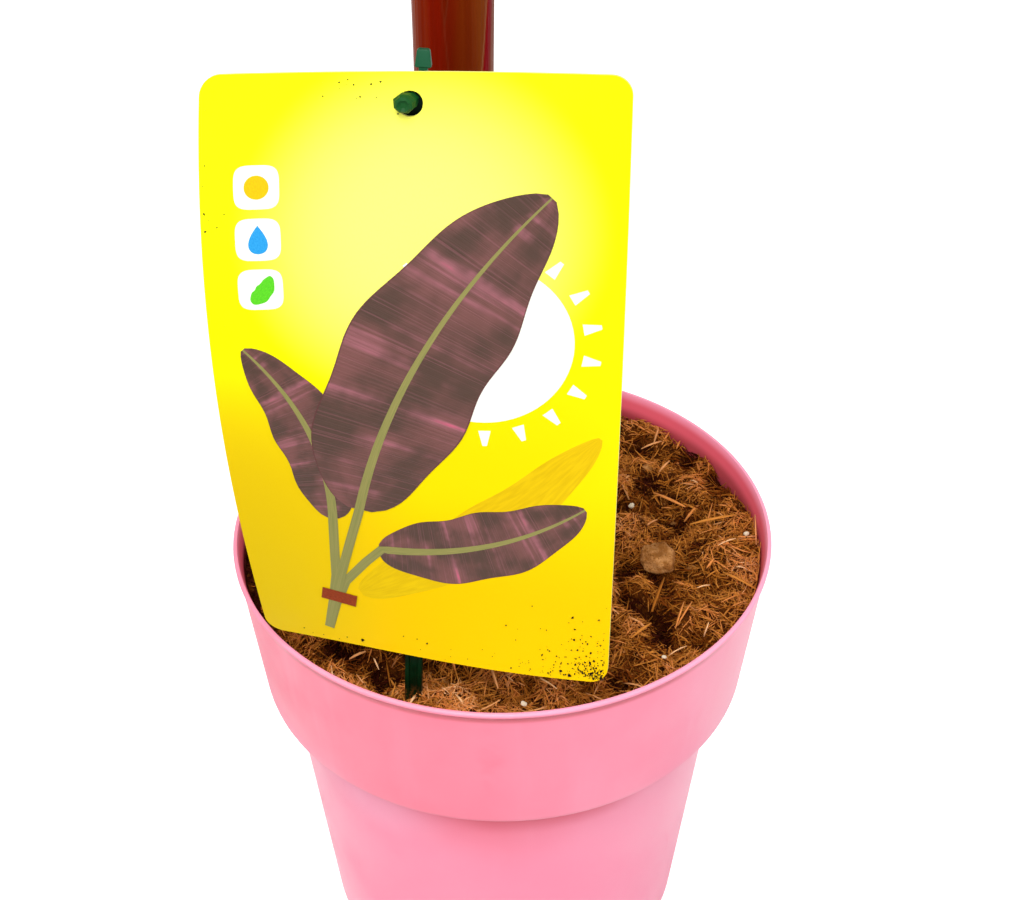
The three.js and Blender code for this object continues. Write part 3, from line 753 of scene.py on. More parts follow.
def make_pot_finish():
    material, tree, shader = start_material("pot_pink", Specular_IOR_Level=0.3)
    place = object_place(tree)
    parts = split_place(tree, place)
    x, y, z = parts["X"], parts["Y"], parts["Z"]
    cloud = mottle(tree, place, scale=16.0, low=0.35, high=0.7)
    colour = mixed(tree, cloud, PINK, PINK_DEEP)
    streak = mottle(tree, stretched(tree, place, POT_TINTS.streak_stretch), scale=60.0, low=0.5, high=0.8)
    colour = tinted(tree, colour, PINK_PALE, streak, POT_TINTS.streak_share)
    stain = oval(tree, place, POT_TINTS.stain_place, POT_TINTS.stain_size)
    blots = mottle(tree, place, scale=110.0, low=0.35, high=0.65)
    colour = tinted(tree, colour, PINK_STAIN, stain, blots, POT_TINTS.stain_share)
    # Painted light: the pot's right side paler, as if lit from the right
    colour = tinted(tree, colour, PINK_LIT_RIGHT, run(tree, x, POT_TINTS.faded), POT_TINTS.faded_share)
    # Painted highlight along the top of the lip
    colour = tinted(tree, colour, PINK_HIGHLIGHT, run(tree, z, POT_TINTS.lip), POT_TINTS.lip_share)
    # Painted shade in the groove under the lip, strongest at the front
    groove = product(
        tree,
        run(tree, z, POT_TINTS.groove_below),
        run(tree, z, POT_TINTS.groove_above),
        run(tree, y, POT_TINTS.groove_front),
    )
    colour = tinted(tree, colour, PINK_SHADE, groove, POT_TINTS.groove_share)
    # Painted light: the lower body and its sides paler, against the shade under the collar
    beside = product(tree, figure(tree, "ABSOLUTE", x), POT_TINTS.low_rise)
    low = run(tree, figure(tree, "SUBTRACT", z, beside), POT_TINTS.low)
    colour = tinted(tree, colour, PINK_LOW_LIT, low, POT_TINTS.low_share)
    # Painted highlight: a pale patch low on the front left of the body
    highlight = oval(tree, place, POT_TINTS.bleach_place, POT_TINTS.bleach_size)
    colour = tinted(tree, colour, PINK_HIGHLIGHT, highlight, POT_TINTS.bleach_share)
    # Painted shadow under the collar, on the front of the body
    colour = tinted(tree, colour, PINK_SHADE, pot_ledge_shade(tree, x, y, z), POT_TINTS.ledge_share)
    # Painted shade on the inner face of the pot
    inside = pot_inside(tree, x, y, z)
    colour = tinted(tree, colour, PINK_INSIDE_SHADE, inside, POT_TINTS.inside_share)
    # Painted shade on the inner face close above the coir
    soiled = run(tree, z, POT_TINTS.soiled)
    colour = tinted(tree, colour, PINK_SOIL_LINE_SHADE, inside, soiled, POT_TINTS.soiled_share)
    scuff = mottle(tree, stretched(tree, place, POT_TINTS.scuff_stretch), scale=240.0, low=0.55, high=0.75)
    worn = figure(tree, "ADD", product(tree, scuff, POT_TINTS.scuff_share), cloud)
    roughness = span(tree, worn, low=0.36, high=0.48)
    relief = grain(tree, place, scale=1400.0, depth=0.02)
    feed(tree, shader, Base_Color=colour, Roughness=roughness, Normal=relief)
    return material


def make_crumbly_finish(name, first, second, speck, cloud, specks, speck_high, wear, rough, depth):
    """Crumbly coir in two clouded browns, with specks of a third."""
    material, tree, shader = start_material(name, Specular_IOR_Level=0.05)
    place = object_place(tree)
    colour = mixed(tree, mottle(tree, place, cloud, low=0.35, high=0.65), first, second)
    colour = tinted(tree, colour, speck, mottle(tree, place, specks, low=0.55, high=speck_high))
    roughness = span(tree, mottle(tree, place, wear, low=0.3, high=0.7), low=0.85, high=1.0)
    feed(tree, shader, Base_Color=colour, Roughness=roughness, Normal=grain(tree, place, rough, depth))
    return material


def make_bed_finish():
    return make_crumbly_finish(
        "coir_bed", BED_DARK, BED_BROWN, BED_GOLDEN,
        cloud=260.0, specks=900.0, speck_high=0.72, wear=500.0, rough=1100.0, depth=0.9,
    )


def make_plain_finish(name, colour, roughness):
    material, _, _ = start_material(name, Base_Color=colour, Roughness=roughness, Specular_IOR_Level=0.08)
    return material


def make_clod_finish():
    return make_crumbly_finish(
        "coir_clod", CLOD_BROWN, CLOD_TAN, CLOD_DARK,
        cloud=300.0, specks=1100.0, speck_high=0.7, wear=700.0, rough=1500.0, depth=0.8,
    )


def make_stem_finish():
    material, tree, shader = start_material("stem_skin", Specular_IOR_Level=0.02)
    place = object_place(tree)
    height = split_place(tree, place)["Z"]
    flow = stretched(tree, place, STEM_TINTS.stretch)
    wide = mottle(tree, flow, scale=110.0, low=0.36, high=0.64)
    narrow = mottle(tree, flow, scale=420.0, low=0.35, high=0.7)
    waver = span(tree, wide, low=-STEM_TINTS.waver * MM, high=STEM_TINTS.waver * MM)
    aside = figure(tree, "ADD", split_place(tree, place)["X"], waver)
    colour = mixed(tree, run(tree, aside, STEM_TINTS.brown), STEM_RED, STEM_BROWN)
    colour = tinted(tree, colour, STEM_OLIVE, run(tree, aside, STEM_TINTS.olive))
    colour = tinted(tree, colour, STEM_RUSSET, run(tree, aside, STEM_TINTS.russet))
    colour = tinted(tree, colour, STEM_LINE, narrow, STEM_TINTS.line_share)
    colour = tinted(tree, colour, SHEATH_EDGE, mesh_mask(tree, "sheath_edge"))
    colour = tinted(tree, colour, SHEATH_RIM, mesh_mask(tree, "sheath_rim"))
    colour = tinted(tree, colour, STEM_DRY, run(tree, height, STEM_TINTS.dry), STEM_TINTS.dry_share)
    colour = tinted(tree, colour, COIR_DUST, dust(tree, place, SOIL.level, STEM_TINTS.dust_reach))
    colour = tinted(tree, colour, STEM_HIGH, run(tree, height, STEM_TINTS.high), STEM_TINTS.high_share)
    roughness = span(tree, narrow, low=0.26, high=0.42)
    relief = grain(tree, flow, scale=900.0, depth=0.12)
    feed(tree, shader, Base_Color=colour, Roughness=roughness, Normal=relief)
    return material


def blade_places(tree):
    """Shares along the blade, shifted for each leaf, across it, and out from its rib."""
    uv = add_node(tree, "UVMap", uv_map="blade").outputs["UV"]
    parts = split_place(tree, uv)
    across = figure(tree, "ABSOLUTE", figure(tree, "SUBTRACT", parts["Y"], 0.5))
    return parts["X"], parts["Y"], product(tree, across, 2.0)


def vein_relief(tree, line, depth):
    bump = add_node(tree, "Bump", {"Strength": 1.0, "Distance": depth * MM, "Height": line})
    return bump.outputs["Normal"]


def make_blade_finish(name):
    """A blade's face: base and second colours, banded along its veins, flushed in patches, with a margin."""
    base, second, band, flush, margin, roughness = BLADE_FINISHES[name]
    material, tree, shader = start_material(name, Specular_IOR_Level=0.2)
    along, side, out = blade_places(tree)
    veins = use_group(tree, VEINS, {"Along": along, "Across": side, "Count": BLADE_TINTS.veins})
    colour = mixed(tree, ramp(tree, veins["Patch"], *BLADE_TINTS.second), base, second)
    banded = ramp(tree, veins["Band"], *BLADE_TINTS.band)
    band_patch = ramp(tree, veins["Patch"], *BLADE_TINTS.band_patch)
    colour = tinted(tree, colour, band, banded, band_patch, BLADE_TINTS.band_share)
    flushed = ramp(tree, veins["Band"], *BLADE_TINTS.flush)
    flush_patch = ramp(tree, veins["Patch"], *BLADE_TINTS.flush_patch)
    colour = tinted(tree, colour, flush, flushed, flush_patch)
    lines = ramp(tree, veins["Line"], *BLADE_TINTS.line)
    colour = tinted(tree, colour, band, lines, BLADE_TINTS.line_share)
    colour = tinted(tree, colour, margin, ramp(tree, out, *BLADE_TINTS.margin))
    gloss = span(tree, veins["Line"], *roughness)
    relief = vein_relief(tree, veins["Line"], BLADE_TINTS.relief)
    feed(tree, shader, Base_Color=colour, Roughness=gloss, Normal=relief)
    return material


def make_petiole_finish():
    material, tree, shader = start_material("petiole_skin", Specular_IOR_Level=0.25)
    along, side, out = blade_places(tree)
    wound = product(tree, side, PETIOLE_TINTS.wind)
    veins = use_group(tree, VEINS, {"Along": wound, "Across": along, "Count": PETIOLE_TINTS.veins})
    colour = mixed(tree, ramp(tree, veins["Band"], *PETIOLE_TINTS.brown), PETIOLE_RED, PETIOLE_BROWN)
    lines = ramp(tree, veins["Line"], *PETIOLE_TINTS.line)
    colour = tinted(tree, colour, PETIOLE_LINE, lines, PETIOLE_TINTS.line_share)
    grown = mesh_mask(tree, "blade_share")
    colour = tinted(tree, colour, PETIOLE_GREEN, ramp(tree, grown, *PETIOLE_TINTS.green))
    colour = tinted(tree, colour, PETIOLE_EDGE, ramp(tree, out, *PETIOLE_TINTS.edge))
    roughness = span(tree, veins["Band"], low=0.3, high=0.45)
    relief = vein_relief(tree, veins["Line"], PETIOLE_TINTS.relief)
    feed(tree, shader, Base_Color=colour, Roughness=roughness, Normal=relief)
    return material


def make_card_finish():
    material, tree, shader = start_material("card_yellow", Specular_IOR_Level=0.06)
    uv = add_node(tree, "UVMap", uv_map="sheet").outputs["UV"]
    parts = split_place(tree, uv)

    def spot(across, up, across_size, up_size):
        x = figure(tree, "DIVIDE", figure(tree, "SUBTRACT", parts["X"], across), across_size)
        y = figure(tree, "DIVIDE", figure(tree, "SUBTRACT", parts["Y"], up), up_size)
        far = figure(tree, "ADD", product(tree, x, x), product(tree, y, y))
        return ramp(tree, far, 1.0, 0.0)

    colour = mixed(tree, ramp(tree, parts["Y"], *CARD_TINTS.amber), CARD_YELLOW, CARD_AMBER)
    colour = tinted(tree, colour, CARD_MUSTARD, spot(*CARD_TINTS.mustard))
    colour = tinted(tree, colour, CARD_GOLD, spot(*CARD_TINTS.gold), CARD_TINTS.gold_share)
    colour = tinted(tree, colour, CARD_CREAM, spot(*CARD_TINTS.cream), CARD_TINTS.cream_share)
    print_grain = mottle(tree, uv, scale=240.0, low=0.4, high=0.7)
    colour = tinted(tree, colour, CARD_GRAIN, print_grain, CARD_TINTS.grain_share)
    roughness = span(tree, mottle(tree, uv, scale=9.0, low=0.3, high=0.7), low=0.3, high=0.4)
    relief = grain(tree, uv, scale=300.0, depth=0.01)
    feed(tree, shader, Base_Color=colour, Roughness=roughness, Normal=relief)
    return material


def make_ink_finish(name):
    """A printed patch in two close colours."""
    material, tree, shader = start_material(name, Specular_IOR_Level=0.06)
    uv = add_node(tree, "UVMap", uv_map="sheet").outputs["UV"]
    colour = mixed(tree, mottle(tree, uv, scale=14.0, low=0.3, high=0.7), *INKS[name])
    roughness = span(tree, mottle(tree, uv, scale=30.0, low=0.3, high=0.7), low=0.3, high=0.4)
    feed(tree, shader, Base_Color=colour, Roughness=roughness)
    return material


def make_stake_finish(name, lit_green):
    """Green plastic darkened near the soil as painted shade, with a lighter green further up as painted
    light.
    """
    material, tree, shader = start_material(name, Specular_IOR_Level=0.1)
    place = object_place(tree)
    colour = mixed(tree, mottle(tree, place, scale=210.0, low=0.35, high=0.65), STAKE_SHADED_DARK, STAKE_SHADED_GREEN)
    high = run(tree, split_place(tree, place)["Z"], STAKE_TINTS.high)
    colour = tinted(tree, colour, lit_green, high, STAKE_TINTS.high_share)
    colour = tinted(tree, colour, COIR_DUST, dust(tree, place, SOIL.level, STAKE_TINTS.dust_reach))
    roughness = span(tree, mottle(tree, place, scale=300.0, low=0.3, high=0.7), low=0.34, high=0.5)
    relief = grain(tree, place, scale=1300.0, depth=0.03)
    feed(tree, shader, Base_Color=colour, Roughness=roughness, Normal=relief)
    return material


# Near-black greens that stand in for the shadow behind the card's hole
def make_seat_shadow_finish():
    material, tree, shader = start_material("stake_shadow_seat", Specular_IOR_Level=0.05)
    place = object_place(tree)
    colour = mixed(tree, mottle(tree, place, scale=400.0, low=0.35, high=0.65), SEAT_SHADOW_DARK, SEAT_SHADOW_GREEN)
    roughness = span(tree, mottle(tree, place, scale=300.0, low=0.3, high=0.7), low=0.5, high=0.6)
    feed(tree, shader, Base_Color=colour, Roughness=roughness)
    return material


def make_floor_finish():
    material, tree, shader = start_material(
        "floor_white", Specular_IOR_Level=0.0, Emission_Color=WHITE, Emission_Strength=0.35,
    )
    cloud = mottle(tree, object_place(tree), scale=3.0, low=0.3, high=0.7)
    feed(tree, shader, Base_Color=mixed(tree, cloud, FLOOR_WHITE, FLOOR_BRIGHT))
    return material


# Pot


def pot_profile():
    bead = np.array((POT.rim_radius - POT.bead_radius, POT.height - POT.bead_radius))
    turn = np.radians(np.linspace(*POT.bead_turn, 3 * POT.arc_steps))
    lip = bead + POT.bead_radius * np.stack([np.cos(turn), np.sin(turn)], 1)
    inside = SHOULDER + POT.wall
    outer = rounded_path([
        (0, 0, 0),
        (POT.body_foot, 0, POT.foot_round),
        (POT.body_top, SHOULDER, POT.inner_round),
        (POT.collar_foot, SHOULDER, POT.collar_round),
        (*POT.groove, POT.groove_round),
        (*lip[0], 0),
    ], POT.arc_steps)
    inner = rounded_path([
        (POT.collar_top - POT.wall, LIP_FOOT, 0),
        (POT.collar_foot - POT.wall, inside, POT.inner_round),
        (POT.body_top - POT.wall, inside, POT.inner_round),
        (POT.body_foot - POT.wall, POT.floor, POT.foot_round),
        (0, POT.floor, 0),
    ], POT.arc_steps)
    return spaced(np.vstack([outer[:-1], lip, inner]), POT.spacing)


def make_drills():
    """One mesh of upright round cutters for the drain holes."""
    work = bmesh.new()
    for number in range(POT.drain_count):
        turn = TAU * number / POT.drain_count
        spot = Vector((POT.drain_ring * math.cos(turn), POT.drain_ring * math.sin(turn), 0)) * MM
        bmesh.ops.create_cone(
            work, cap_ends=True, segments=POT.drain_sides, radius1=POT.drain_radius * MM,
            radius2=POT.drain_radius * MM, depth=4 * POT.floor * MM, matrix=Matrix.Translation(spot),
        )
    mesh = bpy.data.meshes.new("drain_drills")
    work.to_mesh(mesh)
    work.free()
    drills = bpy.data.objects.new("drain_drills", mesh)
    bpy.context.scene.collection.objects.link(drills)
    return drills


def make_pot():
    blank = bpy.data.objects.new("pot_blank", build_mesh("pot_blank", *turned(pot_profile(), POT.sides)))
    bpy.context.scene.collection.objects.link(blank)
    drills = make_drills()
    cut = blank.modifiers.new("drain", "BOOLEAN")
    cut.operation = "DIFFERENCE"
    cut.solver = "EXACT"
    cut.object = drills
    ready = blank.evaluated_get(bpy.context.evaluated_depsgraph_get())
    mesh = bpy.data.meshes.new_from_object(ready)
    mesh.name = "pot_shell"
    bpy.data.objects.remove(blank)
    bpy.data.objects.remove(drills)
    work = bmesh.new()
    work.from_mesh(mesh)
    bmesh.ops.remove_doubles(work, verts=work.verts, dist=POT.weld * MM)
    bmesh.ops.dissolve_degenerate(work, edges=work.edges, dist=POT.weld * MM)
    work.to_mesh(mesh)
    work.free()
    mesh.materials.clear()
    mesh.shade_smooth()
    mesh.set_sharp_from_angle(angle=math.radians(POT.sharp_angle))
    add_piece(mesh, [make_pot_finish()], "pot_plastic", "pot")


# Coir fill

SOIL_LUMPS = wave_field(SEEDS.lumps, count=26, lengths=SOIL.lump_waves)
SOIL_PITS = wave_field(SEEDS.pits, count=26, lengths=SOIL.pit_waves)
SOIL_GRAIN = wave_field(SEEDS.grain, count=40, lengths=SOIL.grain_waves)
COIR_TUFTS = wave_field(SEEDS.tufts, count=30, lengths=COIR.tuft_waves)


def disc_places(rng, count, reach):
    turn = rng.uniform(0, TAU, count)
    radius = reach * np.sqrt(rng.random(count))
    return radius * np.cos(turn), radius * np.sin(turn)


def make_clumps():
    """Places, sizes, heights, tints and headings of the clumps that the coir lies in."""
    rng = np.random.default_rng(SEEDS.clumps)
    count = COIR.clumps
    x, y = disc_places(rng, count, COIR.reach + COIR.clump_margin)
    return Sizes(
        x=x, y=y, size=between(COIR.clump_size, rng.random(count)), lift=rng.uniform(-1, 1, count),
        tint=rng.normal(0, 1, count), heading=rng.uniform(0, TAU, count),
    )


CLUMPS = make_clumps()


def clump_at(x, y):
    """The clump that a place belongs to, and 0 to 1 for how near the place is to a crevice."""
    warped_x = x + COIR.clump_warp * SOIL_LUMPS(x, y)
    warped_y = y + COIR.clump_warp * SOIL_PITS(x, y)
    nearest = np.full(np.shape(x), np.inf)
    second = nearest.copy()
    number = np.zeros(np.shape(x), int)
    for k in range(COIR.clumps):
        far = np.hypot(warped_x - CLUMPS.x[k], warped_y - CLUMPS.y[k]) / CLUMPS.size[k]
        closer = far < nearest
        second = np.where(closer, nearest, np.minimum(second, far))
        number[closer] = k
        nearest = np.minimum(nearest, far)
    return number, 1 - ease(second - nearest, 0, COIR.crevice_width)


def collar_inside(height):
    share = (np.minimum(height, LIP_FOOT) - SHOULDER) / (LIP_FOOT - SHOULDER)
    return between((POT.collar_foot, POT.collar_top), share) - POT.wall


def bump_at(x, y, x_at, y_at, width):
    """1 at a place, falling off smoothly to all sides."""
    return np.exp(-((x - x_at) ** 2 + (y - y_at) ** 2) / width**2)


def coir_shade_at(x, y):
    """How much painted shade darkens the coir, 0 on open ground and 1 in a deep hollow and in the places of
    painted shade; crumbs sink by it too.
    """
    damp = 0.0
    for *spot, depth in SOIL.hollows:
        damp = np.maximum(damp, depth / SOIL.damp_depth * bump_at(x, y, *spot))
    for spot in SOIL.damp:
        damp = np.maximum(damp, SOIL.damp_strength * bump_at(x, y, *spot))
    return damp


def soil_height(x, y):
    open_ground = ease(np.hypot(x - STEM.x, y - STEM.y), SOIL.patch_radius, SOIL.lump_start)
    wall = 1 - SOIL.wall_calm * ease(np.hypot(x, y), *SOIL.lump_end)
    rise = SOIL.lump * SOIL_LUMPS(x, y) - SOIL.pit * ease(-SOIL_PITS(x, y), *SOIL.pit_start)
    for spots, sign in ((SOIL.hollows, -1), (SOIL.mounds, 1)):
        for *spot, depth in spots:
            rise = rise + sign * depth * bump_at(x, y, *spot)
    number, crevice = clump_at(x, y)
    rise = rise + COIR.clump_lift * CLUMPS.lift[number] - COIR.crevice * crevice**2 + SOIL.lift
    rise = rise + COIR.tuft_lift * COIR_TUFTS(x, y)
    return SOIL.level + open_ground * wall * rise


def make_coir_bed():
    edge = collar_inside(SOIL.level) - GAP
    slack = POT.wall + GAP
    inside = SHOULDER + POT.wall + GAP
    side = spaced(np.array([
        (0, POT.floor + GAP),
        (POT.body_foot - slack, POT.floor + GAP),
        (POT.body_top - slack, inside),
        (POT.collar_foot - slack, inside),
        (edge, SOIL.level - SOIL.edge_drop),
    ]), 2 * POT.spacing)
    radii = np.linspace(edge, 0, SOIL.rings)
    top = np.stack([radii, np.full(SOIL.rings, SOIL.level)], 1)
    points, faces = turned(np.vstack([side, top]), SOIL.sides)
    on_top = points[:, 2] >= SOIL.level
    x, y = points[on_top, 0], points[on_top, 1]
    points[on_top, 2] = soil_height(x, y) + SOIL.grain * SOIL_GRAIN(x, y)
    add_piece(build_mesh("coir_bed", points, faces), [make_bed_finish()], "coir", "soil")


def keep_in_pot(points):
    """Moves points off the pot's wall and out of the stem."""
    reach = np.hypot(points[..., 0], points[..., 1])
    limit = collar_inside(points[..., 2]) - COIR.wall_gap
    points[..., :2] *= np.minimum(1, limit / np.maximum(reach, TINY))[..., None]
    off = points[..., :2] - (STEM.x, STEM.y)
    near = np.hypot(off[..., 0], off[..., 1])
    flare = STEM.flare * np.exp(-(points[..., 2] - STEM.foot) / STEM.flare_height)
    clear = STEM.foot_radius + flare + COIR.stem_gap
    points[..., :2] += off * (np.maximum(0, clear - near) / np.maximum(near, TINY))[..., None]
    points[..., 2] = np.minimum(points[..., 2], COIR.highest)
    return points


def coir_lines(kind):
    """Centre lines of the strands of a kind, their radii, and how high each lies in the heap from 0 to 1."""
    rng = np.random.default_rng(kind.seed)
    tuft_x, tuft_y = disc_places(rng, kind.tufts, COIR.reach)
    clump, _ = clump_at(tuft_x, tuft_y)
    tuft_heading = CLUMPS.heading[clump] + COIR.tuft_swing * rng.normal(size=kind.tufts)
    tuft_tilt = rng.normal(0, kind.tilt, kind.tufts)
    loose = rng.random(kind.count) < kind.loose_share
    tuft = rng.integers(0, kind.tufts, kind.count)
    free_x, free_y = disc_places(rng, kind.count, COIR.reach)
    spread = kind.spread * rng.normal(size=(2, kind.count))
    x = np.where(loose, free_x, tuft_x[tuft] + spread[0])
    y = np.where(loose, free_y, tuft_y[tuft] + spread[1])
    swing = kind.swing * rng.normal(size=kind.count)
    heading = np.where(loose, rng.uniform(0, TAU, kind.count), tuft_heading[tuft] + swing)
    tilt = np.where(loose, 0, tuft_tilt[tuft]) + rng.normal(0, kind.tilt, kind.count)
    length = between(kind.length, rng.beta(*COIR.length_spread, kind.count))
    level = rng.random(kind.count)
    bend = kind.bend * rng.normal(size=kind.count)
    arch = kind.arch * rng.random(kind.count)
    share = np.linspace(-0.5, 0.5, COIR.points)
    turn = heading[:, None] + bend[:, None] * share + kind.wander * rng.normal(size=(kind.count, COIR.points))
    step = length[:, None] / (COIR.points - 1)
    along = np.cumsum(step * np.cos(turn), 1)
    aside = np.cumsum(step * np.sin(turn), 1)
    middle = COIR.points // 2
    lines = np.empty((kind.count, COIR.points, 3))
    lines[..., 0] = x[:, None] + along - along[:, middle:middle + 1]
    lines[..., 1] = y[:, None] + aside - aside[:, middle:middle + 1]
    rise = kind.lift * level[:, None] + arch[:, None] * np.cos(math.pi * share)
    rise = rise + tilt[:, None] * length[:, None] * share - COIR.sunk
    ground = soil_height(lines[..., 0], lines[..., 1])
    flat = ground.mean(1, keepdims=True)
    lines[..., 2] = COIR.follow * ground + (1 - COIR.follow) * flat + rise
    radius = between(kind.radius, rng.beta(*COIR.radius_spread, kind.count))
    taper = 1 - COIR.thin_end * np.abs(2 * share) ** 2
    return keep_in_pot(lines), radius[:, None] * taper, level


def strand_mesh(name, lines, radii):
    """Three-sided strands along centre lines, with closed ends."""
    count, steps = lines.shape[:2]
    ahead = unit(np.gradient(lines, axis=1) + STRAND.nudge)
    side = unit(np.cross(ahead, UP + STRAND.tip_off))
    top = np.cross(side, ahead)
    turn = TAU * np.arange(STRAND.sides) / STRAND.sides
    ring = side[:, :, None] * np.cos(turn)[:, None] + top[:, :, None] * np.sin(turn)[:, None]
    points = lines[:, :, None] + radii[:, :, None, None] * ring
    one = grid_quads(steps, STRAND.sides, wrap=True)
    shift = np.arange(count)[:, None, None] * steps * STRAND.sides
    walls = (one[None] + shift).reshape(-1, 4)
    last = (steps - 1) * STRAND.sides
    ends = np.array([(2, 1, 0), (last, last + 1, last + 2)])
    caps = (ends[None] + shift).reshape(-1, STRAND.sides)
    return build_mesh(name, points.reshape(-1, 3), [walls, caps])


# The strands that stand out, by tint: radius, arch, and the two ends
KNOWN_STRANDS = {
    "brown": (
        (0.8, 0.3, (62, -27, 189.0), (56, -44, 187.0)),
    ),
    "golden": (
        (0.7, 0.4, (75, 7, 187.5), (94, 11, 189.0)),
        (0.6, 0.6, (85, -23, 188.0), (97, -32, 187.0)),
        (0.6, 0.4, (47, -60, 188.5), (55, -53, 189.5)),
    ),
    "rust": (
        (0.7, 0.2, (62, 27, 188.0), (74, 17, 188.5)),
        (0.5, 0.4, (68, -43, 191.0), (64, -54, 187.5)),
        (0.5, 0.4, (71, -43, 191.0), (65, -52, 187.5)),
        (0.5, 0.2, (79, -20, 187.5), (82, -17, 190.0)),
    ),
    "tan": (
        (0.45, 0.2, (100, -6, 187.5), (100.5, 6, 193.0)),
        (0.5, 0.3, (65, 41, 187.5), (70, 46, 190.0)),
        (0.5, 0.5, (59, 57, 188.0), (68, 61, 189.0)),
        (0.55, 0.4, (-56, -70, 188.5), (-50, -68, 190.5)),
        (0.5, 0.3, (-4, -76, 188.5), (-2, -85, 188.0)),
    ),
    "straw": (
        (0.34, 0.7, (84, -8, 188.5), (92, -5, 190.0)),
        (0.3, 0.4, (74, -33, 189.0), (79, -32, 189.5)),
        (0.34, 0.2, (74, -59, 188.0), (76, -55, 191.5)),
        (0.3, 0.6, (60, -70, 189.0), (67, -66, 190.0)),
        (0.36, 0.3, (-47, -71, 190.0), (-45, -75, 188.0)),
        (0.36, 0.4, (13, -81, 189.0), (19, -86, 188.5)),
    ),
}


def known_strands(tint):
    share = np.linspace(0, 1, COIR.points)[:, None]
    lines = np.empty((0, COIR.points, 3))
    radii = np.empty((0, COIR.points))
    for radius, arch, start, end in KNOWN_STRANDS.get(tint, ()):
        line = np.array(start) + share * (np.array(end) - start) + arch * np.sin(math.pi * share) * UP
        lines = np.concatenate([lines, line[None]])
        radii = np.vstack([radii, radius * (1 - COIR.known_thin_end * (2 * share.T - 1) ** 2)])
    return lines, radii


def tint_order(lines, level, rng):
    """Each strand's place from 0 to 1 in the run from dark to pale: deep ones, crevices and hollows are dark
    as painted shade, and raised and frontal ones pale as painted light.
    """
    x, y, z = lines[:, COIR.points // 2].T
    number, crevice = clump_at(x, y)
    shade = PALENESS.level * level + PALENESS.height * (z - SOIL.level)
    shade = shade + PALENESS.clump * CLUMPS.tint[number] + PALENESS.crevice * crevice
    shade = shade + PALENESS.tuft * COIR_TUFTS(x, y) + PALENESS.damp * coir_shade_at(x, y)
    # Painted light: strands paler towards the pot's front
    shade = shade + PALENESS.front * ease(-y, *PALENESS.front_run)
    shade = shade + PALENESS.back * ease(y, *PALENESS.back_run)
    shade = shade + PALENESS.chance * rng.normal(size=len(level))
    return np.argsort(np.argsort(shade)) / len(level)


def make_coir_strands():
    rng = np.random.default_rng(SEEDS.tints)
    fibre_lines, fibre_radii, fibre_level = coir_lines(FIBRES)
    sliver_lines, sliver_radii, sliver_level = coir_lines(SLIVERS)
    lines = np.vstack([fibre_lines, sliver_lines])
    radii = np.vstack([fibre_radii, sliver_radii])
    fibre_order = tint_order(fibre_lines, fibre_level, rng)
    sliver_order = tint_order(sliver_lines, sliver_level, rng)
    fibre_start, sliver_start = 0.0, 0.0
    for tint, (colour, fibre_share, sliver_share) in COIR_TINTS.items():
        fibres = (fibre_order >= fibre_start) & (fibre_order < fibre_start + fibre_share)
        slivers = (sliver_order >= sliver_start) & (sliver_order < sliver_start + sliver_share)
        fibre_start += fibre_share
        sliver_start += sliver_share
        chosen = np.concatenate([fibres, slivers])
        known_lines, known_radii = known_strands(tint)
        all_lines = np.vstack([lines[chosen], known_lines])
        mesh = strand_mesh(f"coir_strands_{tint}", all_lines, np.vstack([radii[chosen], known_radii]))
        add_piece(mesh, [make_plain_finish(f"coir_{tint}", colour, COIR.strand_roughness)], "coir")


def turned_at_random(rng, count):
    """Random turns as 3 x 3 matrices."""
    first = unit(rng.normal(size=(count, 3)))
    second = unit(np.cross(first, rng.normal(size=(count, 3))))
    return np.stack([first, second, np.cross(first, second)], 1)


def crumb_mesh(name, centres, sizes, rng, flatness):
    """Small eight-sided crumbs."""
    corners = np.array([(1, 0, 0), (0, 1, 0), (-1, 0, 0), (0, -1, 0), (0, 0, 1), (0, 0, -1)], float)
    sides = np.array([(0, 1, 4), (1, 2, 4), (2, 3, 4), (3, 0, 4), (1, 0, 5), (2, 1, 5), (3, 2, 5), (0, 3, 5)])
    count = len(centres)
    uneven = corners[None] * rng.uniform(flatness, COIR.crumb_most, (count, len(corners), 1))
    placed = np.einsum("nij,njk->nik", uneven, turned_at_random(rng, count))
    points = centres[:, None] + placed * sizes[:, None, None]
    faces = sides[None] + np.arange(count)[:, None, None] * len(corners)
    return build_mesh(name, points.reshape(-1, 3), [faces.reshape(-1, 3)], smooth=False)


def make_coir_crumbs():
    rng = np.random.default_rng(SEEDS.crumbs)
    for tint, (colour, share) in CRUMB_TINTS.items():
        count = int(COIR.crumbs * share)
        x, y = disc_places(rng, count, COIR.reach)
        size = between(COIR.crumb_size, rng.beta(*COIR.crumb_spread, count))
        height = soil_height(x, y) + rng.uniform(*COIR.crumb_rise, count) - COIR.crumb_sink * coir_shade_at(x, y)
        places = keep_in_pot(np.stack([x, y, height], 1))
        mesh = crumb_mesh(f"coir_crumbs_{tint}", places, size, rng, COIR.crumb_flatness)
        add_piece(mesh, [make_plain_finish(f"crumb_{tint}", colour, COIR.crumb_roughness)], "coir")


def ball_arrays(divisions):
    work = bmesh.new()
    bmesh.ops.create_icosphere(work, subdivisions=divisions, radius=1.0)
    points = np.array([vertex.co[:] for vertex in work.verts])
    faces = np.array([[vertex.index for vertex in face.verts] for face in work.faces])
    work.free()
    return points, faces


# Places of the large clod and of the pale grit that lie on the right
CLOD_PLACE = (60.6, -12.6, 186.6)
CLOD_SIZE = 6.4
GRIT_PLACES = ((52.8, 22.0), (97.0, 1.9), (58.4, -70.0), (7.2, -90.0))


